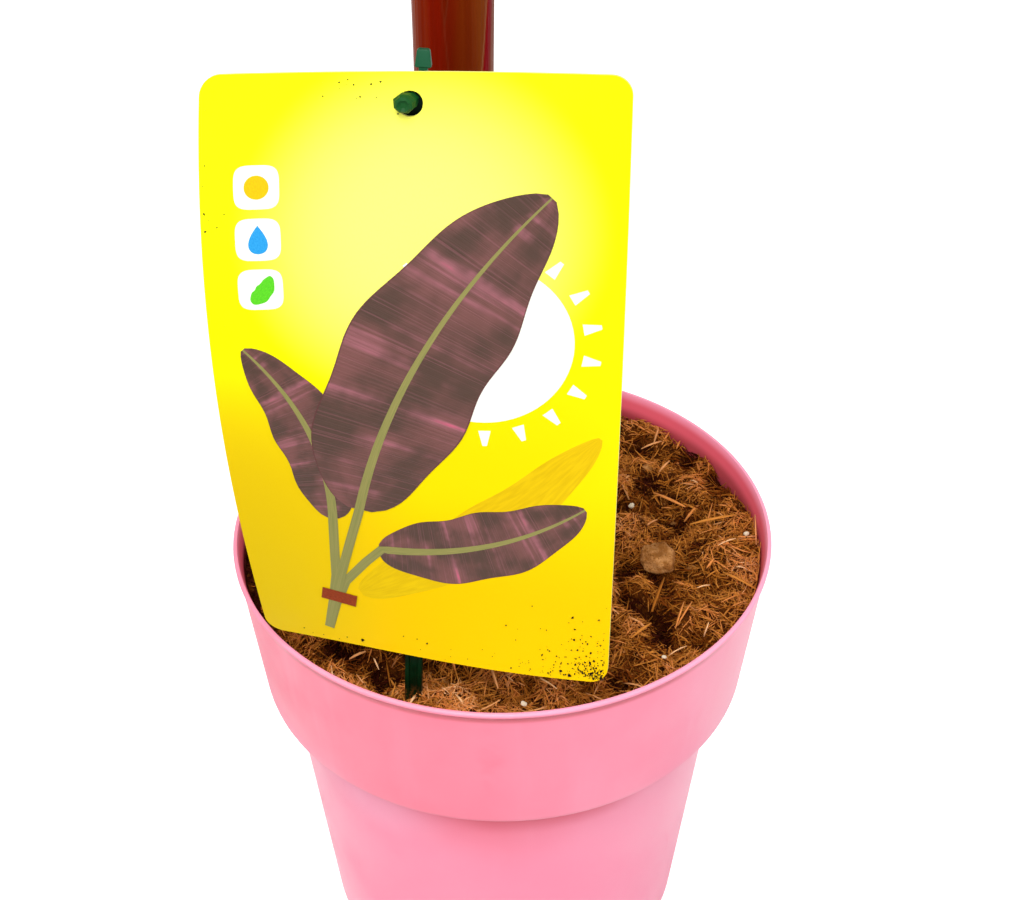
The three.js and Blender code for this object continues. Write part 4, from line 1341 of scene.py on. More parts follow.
def lump_mesh(name, centres, sizes, divisions, relief, seed):
    """Uneven lumps, flattened as they lie."""
    ball, sides = ball_arrays(divisions)
    rng = np.random.default_rng(seed)
    field = wave_field(seed + 1, count=30, lengths=COIR.lump_waves)
    points = []
    for centre, size, matrix in zip(centres, sizes, turned_at_random(rng, len(centres))):
        shift = rng.uniform(-COIR.lump_shift, COIR.lump_shift, 3)
        swell = 1 + relief * field(*(ball + shift).T)
        lump = (ball * swell[:, None] * rng.uniform(*COIR.lump_sides, 3)) @ matrix
        points.append(centre + size * lump * (1, 1, COIR.lump_flat))
    faces = sides[None] + np.arange(len(centres))[:, None, None] * len(ball)
    return build_mesh(name, np.vstack(points), [faces.reshape(-1, 3)])


def make_coir_clods():
    rng = np.random.default_rng(SEEDS.clods)
    x, y = disc_places(rng, COIR.clods, COIR.reach - COIR.clod_margin)
    size = between(COIR.clod_size, rng.beta(*COIR.clod_spread, COIR.clods))
    places = keep_in_pot(np.stack([x, y, soil_height(x, y) + COIR.clod_rise], 1))
    places[0] = CLOD_PLACE
    size[0] = CLOD_SIZE
    clods = lump_mesh("coir_clods", places, size, COIR.clod_divisions, COIR.clod_relief, SEEDS.clod_forms)
    add_piece(clods, [make_clod_finish()], "coir")
    x, y = disc_places(rng, COIR.grit, COIR.reach - COIR.grit_margin)
    x[:len(GRIT_PLACES)], y[:len(GRIT_PLACES)] = np.array(GRIT_PLACES).T
    size = between(COIR.grit_size, rng.random(COIR.grit))
    height = np.maximum(soil_height(x, y) + COIR.grit_rise, SOIL.level + COIR.grit_least)
    places = keep_in_pot(np.stack([x, y, height], 1))
    grit = lump_mesh("pale_grit", places, size, COIR.grit_divisions, COIR.grit_relief, SEEDS.grit_forms)
    add_piece(grit, [make_plain_finish("grit_pale", GRIT_PALE, COIR.grit_roughness)], "coir")


# Stem


def leaf_age(number):
    return number / (LEAF.count - 1)


def leaf_azimuth(number):
    return math.radians(LEAF.first_azimuth + 360 * LEAF.turn * number)


def leaf_foot(number):
    return between(LEAF.foot_height, leaf_age(number))


def stem_axis(height):
    rise = (height - STEM.foot) / (STEM.top - STEM.foot)
    return STEM.x + STEM.lean * rise, STEM.y


def stem_radius(turn, height):
    rise = height - STEM.foot
    taper = between((STEM.foot_radius, STEM.top_radius), rise / (STEM.top - STEM.foot))
    swell = 0.0
    for number in range(LEAF.count):
        foot = leaf_foot(number)
        facing = np.maximum(0, np.cos(turn - leaf_azimuth(number))) ** 2
        below = ease(height, foot - STEM.sheath_run, foot)
        above = ease(height, foot, foot + STEM.sheath_fade)
        swell = np.maximum(swell, facing * below * (1 - above))
    return taper + STEM.flare * np.exp(-rise / STEM.flare_height) + STEM.sheath_swell * swell


def sheath_layers(turn, height):
    """Relief of the wrapped leaf sheaths, their coloured edges and their bare rims."""
    relief = 0.0
    edge = 0.0
    rim = 0.0
    shown = 1.0
    for number in range(LEAF.count):
        foot = leaf_foot(number)
        off = np.degrees(np.abs((turn - leaf_azimuth(number) + math.pi) % TAU - math.pi))
        sway = STEM.sheath_sway * np.sin(height / STEM.sway_run + 2 * number)
        cover = STEM.sheath_open + STEM.sheath_rate * (foot - height) + sway
        cover = np.clip(cover, STEM.sheath_open, STEM.sheath_most)
        alive = 1 - ease(height, foot - STEM.sheath_start, foot + STEM.sheath_fade)
        depth = cover - off
        inside = ease(depth, -STEM.edge_soft, STEM.edge_soft) * alive
        relief = relief + STEM.sheath_step * shown * (inside - alive * cover / 180)
        strength = (1.0 if number == 0 else STEM.inner_edge) * shown * alive
        edge_band = ease(depth, *STEM.edge_start) * (1 - ease(depth, *STEM.edge_band))
        edge = np.maximum(edge, strength * edge_band)
        rim_band = ease(depth, *STEM.rim_start) * (1 - ease(depth, *STEM.rim_end))
        rim = np.maximum(rim, STEM.rim_strength * strength * rim_band)
        shown = shown * (1 - STEM.sheath_hide * inside)
    return relief, edge, rim


def make_stem():
    turn = TAU * np.arange(STEM.sides) / STEM.sides
    height = np.linspace(STEM.foot, STEM.top, STEM.rings)
    turn, height = np.meshgrid(turn, height)
    relief, edge, rim = sheath_layers(turn, height)
    rib_sway = STEM.rib_sway * np.sin(height / STEM.rib_sway_run)
    ribs = STEM.rib * np.sin(STEM.rib_count * turn + rib_sway) * ease(height, *STEM.rib_start)
    close = 1 - (1 - STEM.crown_share) * ease(height, STEM.crown_start, STEM.top)
    radius = (stem_radius(turn, height) - STEM.sheath_set_in + relief + ribs) * close
    x, y = stem_axis(height)
    rings = np.stack([x + radius * np.cos(turn), y + radius * np.sin(turn), height], -1)
    foot = (*stem_axis(STEM.foot), STEM.foot)
    top = (*stem_axis(STEM.top), STEM.top)
    mesh = build_mesh("stem_sheaths", *tube(rings, foot, top))
    give_mask(mesh, "sheath_edge", np.append(edge.ravel(), (0, 0)))
    give_mask(mesh, "sheath_rim", np.append(rim.ravel(), (0, 0)))
    add_piece(mesh, [make_stem_finish()], "stem_skin", "stem")


# Leaves


class LeafForm:
    """One leaf's line, widths and faces, by the same rule as its solid.

    A share runs along the whole leaf, t along its blade from foot to tip, and q out from the rib to the edge.
    """

    def __init__(self, number):
        self.number = number
        self.age = leaf_age(number)
        self.azimuth = leaf_azimuth(number)
        self.petiole = between(LEAF.petiole, self.age)
        self.length = self.petiole + between(LEAF.blade, self.age)
        peak = LEAF.base_power / (LEAF.base_power + LEAF.tip_power)
        full = between(LEAF.half_width, self.age)
        self.scale = full / (peak**LEAF.base_power * (1 - peak) ** LEAF.tip_power)
        self.roll = math.radians(LEAF.roll) * math.sin(TAU * GOLDEN * number + LEAF.roll_shift)
        self.trace_line()

    def trace_line(self):
        foot = leaf_foot(self.number)
        corners = [np.array((stem_radius(self.azimuth, foot) - LEAF.foot_sink, foot))]
        legs = (
            (LEAF.foot_share, LEAF.foot_angle),
            (LEAF.middle_share, LEAF.middle_angle),
            (LEAF.tip_share, LEAF.tip_angle),
        )
        for share, angles in legs:
            angle = math.radians(between(angles, self.age))
            corners.append(corners[-1] + share * self.length * np.array((math.sin(angle), math.cos(angle))))
        t = np.linspace(0, 1, LEAF.line_steps)[:, None]
        a, b, c, d = corners
        line = (1 - t) ** 3 * a + 3 * t * (1 - t) ** 2 * b + 3 * t**2 * (1 - t) * c + t**3 * d
        steps = np.linalg.norm(np.diff(line, axis=0), axis=1)
        along = np.concatenate([[0], np.cumsum(steps)]) / steps.sum()
        ahead = unit(np.gradient(line, axis=0))
        tuck = line[0] - ahead[0] * LEAF.foot_tuck * self.length
        self.along = np.concatenate([[-LEAF.foot_tuck], along])
        self.line = np.vstack([tuck, line])
        self.ahead = np.vstack([ahead[:1], ahead])

    def blade_share(self, share):
        return (share * self.length - self.petiole) / (self.length - self.petiole)

    def whole_share(self, t):
        return (t * (self.length - self.petiole) + self.petiole) / self.length

    def half_width(self, share):
        slim = ease(share * self.length, 0, LEAF.petiole_run)
        stalk = between((LEAF.petiole_foot_half, LEAF.petiole_half), slim)
        t = np.clip(self.blade_share(share), 0, 1)
        blade = self.scale * t**LEAF.base_power * (1 - t) ** LEAF.tip_power
        return np.maximum(blade, between((stalk, LEAF.tip_half), t))

    def place(self, share, across, lift):
        out = np.interp(share, self.along, self.line[:, 0])
        height = np.interp(share, self.along, self.line[:, 1])
        ahead_out = np.interp(share, self.along, self.ahead[:, 0])
        ahead_up = np.interp(share, self.along, self.ahead[:, 1])
        outward = np.array((math.cos(self.azimuth), math.sin(self.azimuth), 0))
        level = np.array((-math.sin(self.azimuth), math.cos(self.azimuth), 0))
        axis_x, axis_y = stem_axis(leaf_foot(self.number))
        spine = np.array((axis_x, axis_y, 0)) + out[..., None] * outward + height[..., None] * UP
        ahead = unit(ahead_out[..., None] * outward + ahead_up[..., None] * UP)
        above = np.cross(ahead, level)
        roll = (self.roll * np.maximum(share, 0))[..., None]
        side = level * np.cos(roll) + above * np.sin(roll)
        top = above * np.cos(roll) - level * np.sin(roll)
        half = self.half_width(share)
        q = np.abs(across)
        t = np.maximum(0, self.blade_share(share))
        curl = half * (LEAF.keel * q - LEAF.droop * q * q)
        phase = self.number + np.where(across > 0, 0, LEAF.wave_shift)
        grow = q * q * ease(t, 0, LEAF.wave_start)
        wave = grow * LEAF.wave * np.sin(TAU * LEAF.waves * t + phase)
        flutter = np.sin(TAU * LEAF.ruffles * t + LEAF.ruffle_shift * phase)
        ruffle = grow * q * q * (1 - t) * LEAF.ruffle * flutter
        lifted = (curl + wave + ruffle + lift)[..., None]
        return spine + side * (across * half)[..., None] + top * lifted

    def tears(self):
        """Place along the leaf, side and inner end of each tear."""
        for i in range(round(LEAF.most_tears * (1 - self.age))):
            spread = (GOLDEN * (i + 1 + LEAF.count * self.number)) % 1
            first, last = LEAF.tear_along
            place = between((self.petiole / self.length + first, last), spread)
            side = 1 if (i + self.number) % 2 == 0 else -1
            yield place, side, between(LEAF.tear_inner, (spread * LEAF.count) % 1)


def leaf_grid(form):
    """Shares along and across the leaf for each column and row, slanted as the side veins run."""
    start = -LEAF.foot_tuck
    foot = form.whole_share(0.0)
    stalk = np.linspace(start, foot, LEAF.petiole_columns, endpoint=False)
    t = np.linspace(0, 1, LEAF.blade_columns) ** LEAF.column_power
    blade = form.whole_share(t)
    share = np.concatenate([stalk, blade])
    t = form.blade_share(share)
    rib = between(LEAF.rib_half, np.clip(t, 0, 1)) / form.half_width(share)
    onto_blade = ease(t, *LEAF.blade_start)
    rib = np.minimum(between((LEAF.rib_most, rib), onto_blade), LEAF.rib_most)
    row = np.arange(-LEAF.rib_rows - LEAF.blade_rows, LEAF.rib_rows + LEAF.blade_rows + 1)
    within = np.clip(np.abs(row) / LEAF.rib_rows, 0, 1)
    beyond = np.clip((np.abs(row) - LEAF.rib_rows) / LEAF.blade_rows, 0, 1)
    q = rib[:, None] * within + (1 - rib[:, None]) * beyond
    flow = 4 * np.clip(t, 0, 1) * (1 - np.clip(t, 0, 1))
    shares = share[:, None] + LEAF.tear_slant * flow[:, None] * beyond
    return share, np.minimum(shares, 1), q * np.sign(row), rib[:, None] + 0 * q, row


def make_leaf(number, finishes):
    form = LeafForm(number)
    column_share, shares, across, rib, row = leaf_grid(form)
    columns, rows = shares.shape
    lift = np.zeros_like(shares)
    before = np.arange(columns * rows).reshape(columns, rows)
    after = before.copy()
    extra = []
    for place, side, inner in form.tears():
        column = int(np.argmin(np.abs(column_share - place)))
        torn = (np.sign(across[column]) == side) & (np.abs(across[column]) > inner)
        out = (np.abs(across[column, torn]) - inner) / (1 - inner)
        gap = 0.5 * LEAF.tear_width / form.length * between((LEAF.tear_root, 1), out)
        after[column, torn] = columns * rows + sum(len(e[0]) for e in extra) + np.arange(torn.sum())
        raised = LEAF.tear_lift * out**2
        extra.append((shares[column, torn] + gap, across[column, torn], rib[column, torn], raised))
        shares[column, torn] -= gap
        lift[column, torn] -= raised
    share = np.concatenate([shares.ravel(), *[e[0] for e in extra]])
    side = np.concatenate([across.ravel(), *[e[1] for e in extra]])
    edge = np.concatenate([rib.ravel(), *[e[2] for e in extra]])
    lift = np.concatenate([lift.ravel(), *[e[3] for e in extra]])
    t = form.blade_share(share)
    onto_blade = ease(t, *LEAF.blade_start)
    on_blade = np.clip(t, 0, 1)
    q = np.abs(side)
    round_rib = np.sqrt(np.clip(1 - (q / edge) ** 2, 0, 1))
    round_stalk = np.sqrt(np.clip(1 - q**2, 0, 1))
    core = between((LEAF.foot_core, LEAF.petiole_core), ease(share * form.length, 0, LEAF.foot_run))
    stalk_depth = LEAF.petiole_edge + (core - LEAF.petiole_edge) * round_stalk
    rib_depth = between(LEAF.rib_depth, on_blade) * round_rib
    depth = between((stalk_depth, LEAF.blade_thickness + rib_depth), onto_blade)
    rib_groove = LEAF.rib_channel * (1 - on_blade) * round_rib
    groove = between((LEAF.petiole_channel * round_stalk, rib_groove), onto_blade)
    pleat = LEAF.pleat * onto_blade * ease(q, edge, 1) * np.sin(TAU * LEAF.pleats * t + number)
    upper = form.place(share, side, lift - groove + pleat)
    lower = form.place(share, side, lift - groove * onto_blade + pleat - depth)
    faces = np.stack([after[:-1, :-1], before[1:, :-1], before[1:, 1:], after[:-1, 1:]], -1)
    on_rib = np.maximum(np.abs(row[:-1]), np.abs(row[1:])) <= LEAF.rib_rows
    stalk = 0.5 * (t[before[:-1, 0]] + t[before[1:, 0]]) < 0
    is_skin = (on_rib[None, :] | stalk[:, None]).ravel()
    points, face_sets = shell(upper, lower, faces.reshape(-1, 4))
    mesh = build_mesh(f"leaf_blade_{number + 1}", points, face_sets)
    numbers = [np.where(is_skin, 2, 0), np.where(is_skin, 2, 1), np.ones(len(face_sets[2]))]
    give_finish(mesh, np.concatenate(numbers))
    place = np.stack([t + LEAF.patch_shift * number, 0.5 + 0.5 * side], 1)
    give_uv(mesh, "blade", np.vstack([place, place]))
    give_mask(mesh, "blade_share", np.concatenate([t, t]))
    add_piece(mesh, finishes, "leaf_blade", f"leaf_{number + 1}")


def make_leaves():
    upper = make_blade_finish("blade_upper")
    under = make_blade_finish("blade_under")
    skin = make_petiole_finish()
    for number in range(LEAF.count):
        make_leaf(number, [upper, under, skin])
    make_new_leaf(under)


def make_new_leaf(finish):
    """The rolled new leaf: a lapped roll that winds as it rises and draws to a point."""
    z = np.linspace(0, 1, SPEAR.rings)
    turn = TAU * np.arange(SPEAR.sides) / SPEAR.sides
    swell = np.sin(0.25 * TAU * np.minimum(z / SPEAR.belly, 1))
    rising = between((SPEAR.foot_radius, SPEAR.belly_radius), swell)
    past = np.clip((z - SPEAR.belly) / (1 - SPEAR.belly), 0, 1)
    falling = between((SPEAR.belly_radius, SPEAR.tip_radius), past**SPEAR.taper_power)
    radius = np.where(z < SPEAR.belly, rising, falling) * (1 - SPEAR.point_shut * ease(z, SPEAR.point, 1))
    wound = (turn[None, :] / TAU - SPEAR.twists * z[:, None]) % 1
    lap = SPEAR.lap * (wound - 0.5) * (radius / SPEAR.belly_radius)[:, None]
    seam = SPEAR.seam * SPEAR.lap * np.exp(-((wound - SPEAR.seam_place) / SPEAR.seam_width) ** 2)
    width = radius[:, None] + lap + seam * (radius / SPEAR.belly_radius)[:, None]
    azimuth = math.radians(SPEAR.azimuth)
    axis_x, axis_y = stem_axis(STEM.top)
    sway = SPEAR.sway * z * z
    height = STEM.top + GAP + SPEAR.length * z
    rings = np.stack([
        axis_x + (sway * math.cos(azimuth))[:, None] + width * np.cos(turn),
        axis_y + (sway * math.sin(azimuth))[:, None] + width * np.sin(turn),
        height[:, None] + 0 * width,
    ], -1)
    ends = [np.append(rings[k, :, :2].mean(0), height[k]) for k in (0, -1)]
    mesh = build_mesh("new_leaf_roll", *tube(rings, *ends))
    along = SPEAR.band_along * z[:, None] + SPEAR.band_wind * wound
    place = np.stack([along, wound], -1).reshape(-1, 2)
    give_uv(mesh, "blade", np.vstack([place, place[:1], place[-1:]]))
    add_piece(mesh, [finish], "leaf_blade", "leaf_new")


# Picture card

CARD_TURN = (
    Matrix.Rotation(math.radians(CARD.yaw), 3, "Z")
    @ Matrix.Rotation(math.radians(CARD.lean), 3, "X")
    @ Matrix.Rotation(math.radians(CARD.roll), 3, "Y")
)


def on_card(x, z, forward=0.0):
    """Places of the flat sheet's points on the bowed and twisted card, moved forward off its middle."""
    across = x / CARD.width + 0.5
    up = z / CARD.height
    most = between((CARD.bow_left, CARD.bow_right), across)
    bow = most * 4 * up * (1 - up) * (1 + CARD.bow_skew * (up - 0.5))
    twist = CARD.twist * (across - 0.5) * up
    drop = BOW_DROP * (most / CARD.height) ** 2
    low = np.maximum(0, 1 - up / CARD.foot_curl_reach) ** 2
    curl = CARD.foot_curl * low * np.sin(math.pi * np.clip(across, 0, 1) ** CARD.foot_curl_skew)
    flat = np.stack([x, twist - bow - curl - forward + 0 * x, z * (1 - drop)], -1)
    return flat @ np.array(CARD_TURN).T + CARD.position


def sheet_rows():
    """The card's flat sheet as a grid that follows its rounded corners."""
    half = CARD.width / 2
    columns = round(CARD.width / CARD.facet)
    rows = round(CARD.height / CARD.facet)
    corner = CARD.corner_radius
    bend = corner * (1 - np.cos(np.linspace(0, 0.25 * TAU, CARD.corner_steps)))
    straight = np.linspace(corner, CARD.height - corner, rows)[1:-1]
    z = np.concatenate([bend, straight, CARD.height - bend[::-1]])
    near = np.minimum(z, CARD.height - z)
    inset = corner - np.sqrt(np.maximum(0, corner**2 - np.maximum(0, corner - near) ** 2))
    x = np.linspace(-1, 1, columns + 1)[None, :] * (half - inset)[:, None]
    return np.stack([x, z[:, None] + 0 * x], -1)


def punched_sheet():
    """Flat places and faces of the card, with rings of faces that close in on its round hole."""
    sheet = sheet_rows()
    rows, columns = sheet.shape[:2]
    centre = np.array((CARD.hole_shift, CARD.height - CARD.hole_drop))
    near = (np.abs(sheet - centre) < CARD.hole_radius + CARD.facet).all(-1)
    row = np.flatnonzero(near.any(1))
    column = np.flatnonzero(near.any(0))
    low, high, left, right = row[0], row[-1], column[0], column[-1]
    number = np.arange(rows * columns).reshape(rows, columns)
    loop = np.concatenate([
        number[low, left:right], number[low:high, right],
        number[high, right:left:-1], number[high:low:-1, left],
    ])
    places = sheet.reshape(-1, 2)
    keep = np.ones((rows - 1, columns - 1), bool)
    keep[low:high, left:right] = False
    faces = [grid_quads(rows, columns)[keep.ravel()]]
    outer = places[loop]
    edge = centre + CARD.hole_radius * unit(outer - centre)
    for step in range(1, CARD.hole_rings + 1):
        ring = len(places) + np.arange(len(loop))
        places = np.vstack([places, outer + (edge - outer) * step / CARD.hole_rings])
        faces.append(np.stack([loop, np.roll(loop, -1), np.roll(ring, -1), ring], 1))
        loop = ring
    faces = np.vstack(faces)
    used = np.unique(faces)
    number = np.full(len(places), -1)
    number[used] = np.arange(len(used))
    return places[used], number[faces]


def make_card():
    places, faces = punched_sheet()
    x, z = places.T
    front = on_card(x, z, CARD.thickness / 2)
    back = on_card(x, z, -CARD.thickness / 2)
    points, face_sets = shell(front, back, faces)
    mesh = build_mesh("card_sheet", points, face_sets, sharp_angle=CARD.sharp_angle)
    share = places / (CARD.width, CARD.height) + (0.5, 0)
    give_uv(mesh, "sheet", np.vstack([share, share]))
    counts = [len(side) for side in face_sets]
    give_finish(mesh, np.repeat((0, 1, 1), counts))
    add_piece(mesh, [make_card_finish(), make_ink_finish("card_back")], "card_print", "label_card")


def print_patch(name, finish, layer, *grids):
    """A printed patch: grids of flat places laid on the card's front, joined."""
    places, faces, shares = [], [], []
    for grid in grids:
        rows, columns = grid.shape[:2]
        faces.append(grid_quads(rows, columns) + sum(len(p) for p in places))
        places.append(grid.reshape(-1, 2))
        row, column = np.meshgrid(np.linspace(0, 1, rows), np.linspace(0, 1, columns), indexing="ij")
        shares.append(np.stack([row.ravel(), column.ravel()], 1))
    x, z = np.vstack(places).T
    face = CARD.thickness / 2 + CARD.ink_layer * layer
    points, face_sets = shell(on_card(x, z, face), on_card(x, z, face - CARD.ink), np.vstack(faces))
    mesh = build_mesh(name, points, face_sets, sharp_angle=CARD.ink_sharp_angle)
    for label in ("sheet", "blade"):
        give_uv(mesh, label, np.vstack(shares + shares))
    add_piece(mesh, [finish], "card_print")


def printed_leaf(start, tip, half, bend):
    """A flat leaf from its start to its tip, bent aside, as a grid along and across."""
    start, tip = np.array(start, float), np.array(tip, float)
    t = np.linspace(*PRINT.leaf_ends, PRINT.leaf_rows)[:, None]
    ahead = tip - start
    aside = np.array((ahead[1], -ahead[0]))
    line = start + ahead * t + aside * bend * 4 * t * (1 - t)
    across = unit(aside + ahead * bend * 4 * (2 * t - 1))
    base_power, tip_power = PRINT.leaf_powers
    widest = PRINT.leaf_widest
    width = half * (t / widest) ** base_power * ((1 - t) / (1 - widest)) ** tip_power
    q = np.linspace(1, -1, PRINT.leaf_columns)
    ripple = 1 + PRINT.leaf_ripple * np.sin(PRINT.leaf_ripples * t + 2 * np.sign(q))
    return line[:, None] + across[:, None] * (width * q * ripple)[..., None]


def printed_strip(points, half):
    """A strip along a smooth line through points, from one half width to another."""
    points = np.array(points, float)
    share = np.linspace(0, 1, len(points))
    t = np.linspace(0, 1, PRINT.rows)
    line = np.stack([np.interp(t, share, points[:, k]) for k in (0, 1)], 1)
    ahead = unit(np.gradient(line, axis=0))
    aside = np.stack([ahead[:, 1], -ahead[:, 0]], 1)
    q = np.linspace(1, -1, PRINT.strip_columns)
    return line[:, None] + aside[:, None] * (between(half, t)[:, None] * q)[..., None]


def printed_round(centre, size, power=2.0):
    """A round or squarish patch: rows from its bottom to its top."""
    end = PRINT.round_end
    up = np.sin(np.linspace(-end, end, PRINT.rows) * TAU)
    wide = (1 - np.abs(up) ** power) ** (1 / power)
    q = np.linspace(-1, 1, PRINT.round_columns)
    x = centre[0] + size * wide[:, None] * q
    z = centre[1] + size * up[:, None] + 0 * x
    return np.stack([x, z], -1)


def printed_drop(centre, size):
    end = PRINT.drop_end
    up = np.linspace(-end, end, PRINT.rows)
    wide = np.sqrt(1 - up**2) * (1 - up) ** PRINT.drop_power * PRINT.drop_width
    q = np.linspace(-1, 1, PRINT.drop_columns)
    x = centre[0] + size * wide[:, None] * q
    z = centre[1] + PRINT.drop_height * size * up[:, None] + 0 * x
    return np.stack([x, z], -1)


def sun_rays(centre, reach, half, count):
    turn = TAU * (np.arange(count) + 0.5) / count
    heading = np.stack([np.cos(turn), np.sin(turn)], 1)
    return [printed_strip([np.array(centre) + r * ahead for r in reach], half) for ahead in heading]


def make_card_print():
    """A tied fan of leaves before a rayed sun, and three care signs."""
    leaf_ink = make_blade_finish("ink_leaf")
    rib_ink = make_ink_finish("ink_rib")
    white_ink = make_ink_finish("ink_white")
    shade_ink = make_ink_finish("ink_shade")
    print_patch("print_sun", white_ink, 1, printed_round(PRINT.sun, PRINT.sun_radius))
    print_patch("print_rays", white_ink, 1, *sun_rays(PRINT.sun, PRINT.ray_reach, PRINT.ray_half, PRINT.rays))
    print_patch("print_shade", shade_ink, 1, printed_leaf(*PRINT.shade))
    for name, layer, start, tip, half, bend in PRINT.leaves:
        shape = printed_leaf(start, tip, half, bend)
        middle = shape[:, shape.shape[1] // 2]
        bound = np.array(PRINT.knot) + PRINT.knot_spread * (np.array(start) - PRINT.knot)
        stalk = spaced(np.array([PRINT.foot, bound, middle[0]], float), PRINT.stalk_spacing)
        rib = printed_strip(np.vstack([stalk, middle[1:]]), PRINT.rib_half)
        print_patch(f"print_leaf_{name}", leaf_ink, layer, shape)
        print_patch(f"print_rib_{name}", rib_ink, layer + 1, rib)
    tie = printed_strip(PRINT.tie, PRINT.tie_half)
    print_patch("print_tie", make_ink_finish("ink_tie"), PRINT.tie_layer, tie)
    middles = [(PRINT.sign_across, height) for height in PRINT.sign_heights]
    for number, middle in enumerate(middles):
        badge = printed_round(middle, PRINT.badge, PRINT.badge_power)
        print_patch(f"print_badge_{number + 1}", white_ink, 1, badge)
    sun, drop, leaf = middles
    foot, tip = np.add(leaf, PRINT.sign_leaf_foot), np.add(leaf, PRINT.sign_leaf_tip)
    leaf_sign = printed_leaf(foot, tip, PRINT.sign_leaf_half, PRINT.sign_leaf_bend)
    print_patch("print_sign_sun", shade_ink, 2, printed_round(sun, PRINT.sign))
    print_patch("print_sign_drop", make_ink_finish("ink_blue"), 2, printed_drop(drop, PRINT.sign))
    print_patch("print_sign_leaf", make_ink_finish("ink_green"), 2, leaf_sign)


def make_card_crumbs():
    """Coir crumbs that cling to the card, most of them at its lower right corner."""
    rng = np.random.default_rng(SEEDS.card_crumbs)
    half = CARD.width / 2
    kind = CARD_CRUMBS
    corner_x = half - kind.corner_inset[0] - rng.exponential(kind.corner_scatter[0], kind.corner)
    corner_z = kind.corner_inset[1] + rng.exponential(kind.corner_scatter[1], kind.corner)
    top_x = rng.uniform(*kind.top_across, kind.top)
    top_z = CARD.height - kind.top_inset - rng.exponential(kind.top_scatter, kind.top)
    side_x = -half + kind.side_inset + rng.exponential(kind.side_scatter, kind.side)
    side_z = rng.uniform(*kind.side_up, kind.side)
    foot_x = rng.uniform(-half + kind.foot_inset[0], half - kind.foot_inset[0], kind.foot)
    foot_z = kind.foot_inset[1] + rng.exponential(kind.foot_scatter, kind.foot)
    x = np.concatenate([corner_x, top_x, side_x, foot_x])
    z = np.concatenate([corner_z, top_z, side_z, foot_z])
    size = kind.least + kind.growth * rng.beta(*kind.spread, len(x))
    places = on_card(x, z, CARD.thickness / 2 + kind.lift)
    mesh = crumb_mesh("card_crumbs", places, size, rng, kind.flatness)
    add_piece(mesh, [make_plain_finish("crumb_black", CRUMB_BLACK, COIR.crumb_roughness)], "coir")


# Stake


def stake_frame():
    """The stake's axes, its foot at the soil and the height of its peg."""
    hang = CARD.hole_radius - STAKE.peg_radius - GAP
    x = np.array((0, 1, 0)) + CARD.hole_shift
    z = np.array((0, 0, 1)) + CARD.height - CARD.hole_drop + hang
    hole, right, up = on_card(x, z)
    lean = [math.tan(math.radians(angle)) for angle in (STAKE.lean_right, STAKE.lean_back)]
    rise = unit(np.array((*lean, 1.0)))
    back = np.cross(up - hole, right - hole)
    back = unit(back - rise * (back @ rise))
    side = np.cross(back, rise)
    behind = CARD.thickness / 2 + STAKE.stand_off + STAKE.depth / 2
    on_axis = hole + back * behind + side * STAKE.peg_side
    peg_height = (on_axis[2] - SOIL.level) / rise[2]
    return np.stack([side, back, rise]), on_axis - rise * peg_height, peg_height


def stake_section():
    """The bar's outline, with a groove along its front and its back."""
    side, face = STAKE.width / 2, STAKE.depth / 2
    groove, web = STAKE.groove_width / 2, STAKE.depth / 2 - STAKE.groove_depth
    front = [(-side, -face), (-groove, -face), (-groove, -web)]
    front += [(-x, y) for x, y in reversed(front)]
    back = [(-x, -y) for x, y in front]
    return rounded_path([(*corner, STAKE.edge_round) for corner in front + back], STAKE.edge_steps)


def block_ring(width, depth, height, rounding):
    side, face = width / 2, depth / 2
    corners = [(-side, -face), (side, -face), (side, face), (-side, face)]
    path = rounded_path([(*corner, rounding) for corner in corners], STAKE.head_round_steps)
    return np.column_stack([path, np.full(len(path), height)])


def stake_bar_rings(top):
    section = stake_section()
    shoulder = STAKE.point_length - STAKE.buried
    heights = [-STAKE.buried, *np.linspace(shoulder, top, STAKE.rings)]
    shares = [STAKE.point_share] + [1.0] * STAKE.rings
    rings = [np.column_stack([section * s, np.full(len(section), h)]) for s, h in zip(shares, heights)]
    return np.stack(rings)


def stake_head_rings(bar_top, foot):
    """The neck on top of the bar, and the head with its bevelled ends."""
    top = foot + STAKE.head_height
    width, depth = STAKE.head_width, STAKE.head_depth
    top_width, top_depth = width * STAKE.head_top_share, depth * STAKE.head_top_share
    foot_in, foot_in_deep, foot_up = STAKE.head_foot
    top_in, top_in_deep, top_down = STAKE.head_top
    blocks = (
        (STAKE.neck_width, STAKE.neck_depth, bar_top - STAKE.neck_sink, STAKE.neck_round),
        (STAKE.neck_width, STAKE.neck_depth, foot - STAKE.neck_short, STAKE.neck_round),
        (width - foot_in, depth - foot_in_deep, foot, STAKE.head_end_round),
        (width, depth, foot + foot_up, STAKE.head_round),
        (top_width, top_depth, top - top_down, STAKE.head_round),
        (top_width - top_in, top_depth - top_in_deep, top, STAKE.head_end_round),
    )
    return np.stack([block_ring(*block) for block in blocks])


def stake_seat_rings(height):
    """The round seat behind the card's hole, near black as a painted shadow seen through the hole."""
    front = STAKE.depth / 2 + STAKE.stand_off - STAKE.seat_gap
    turn = TAU * np.arange(STAKE.seat_sides) / STAKE.seat_sides
    bevel = STAKE.seat_bevel
    stages = (
        (STAKE.peg_start, STAKE.seat_radius),
        (front - bevel, STAKE.seat_radius),
        (front, STAKE.seat_radius - bevel),
    )
    return np.stack([
        np.column_stack([
            radius * np.cos(turn) - STAKE.peg_side,
            np.full(len(turn), -reach),
            height + radius * np.sin(turn),
        ])
        for reach, radius in stages
    ])


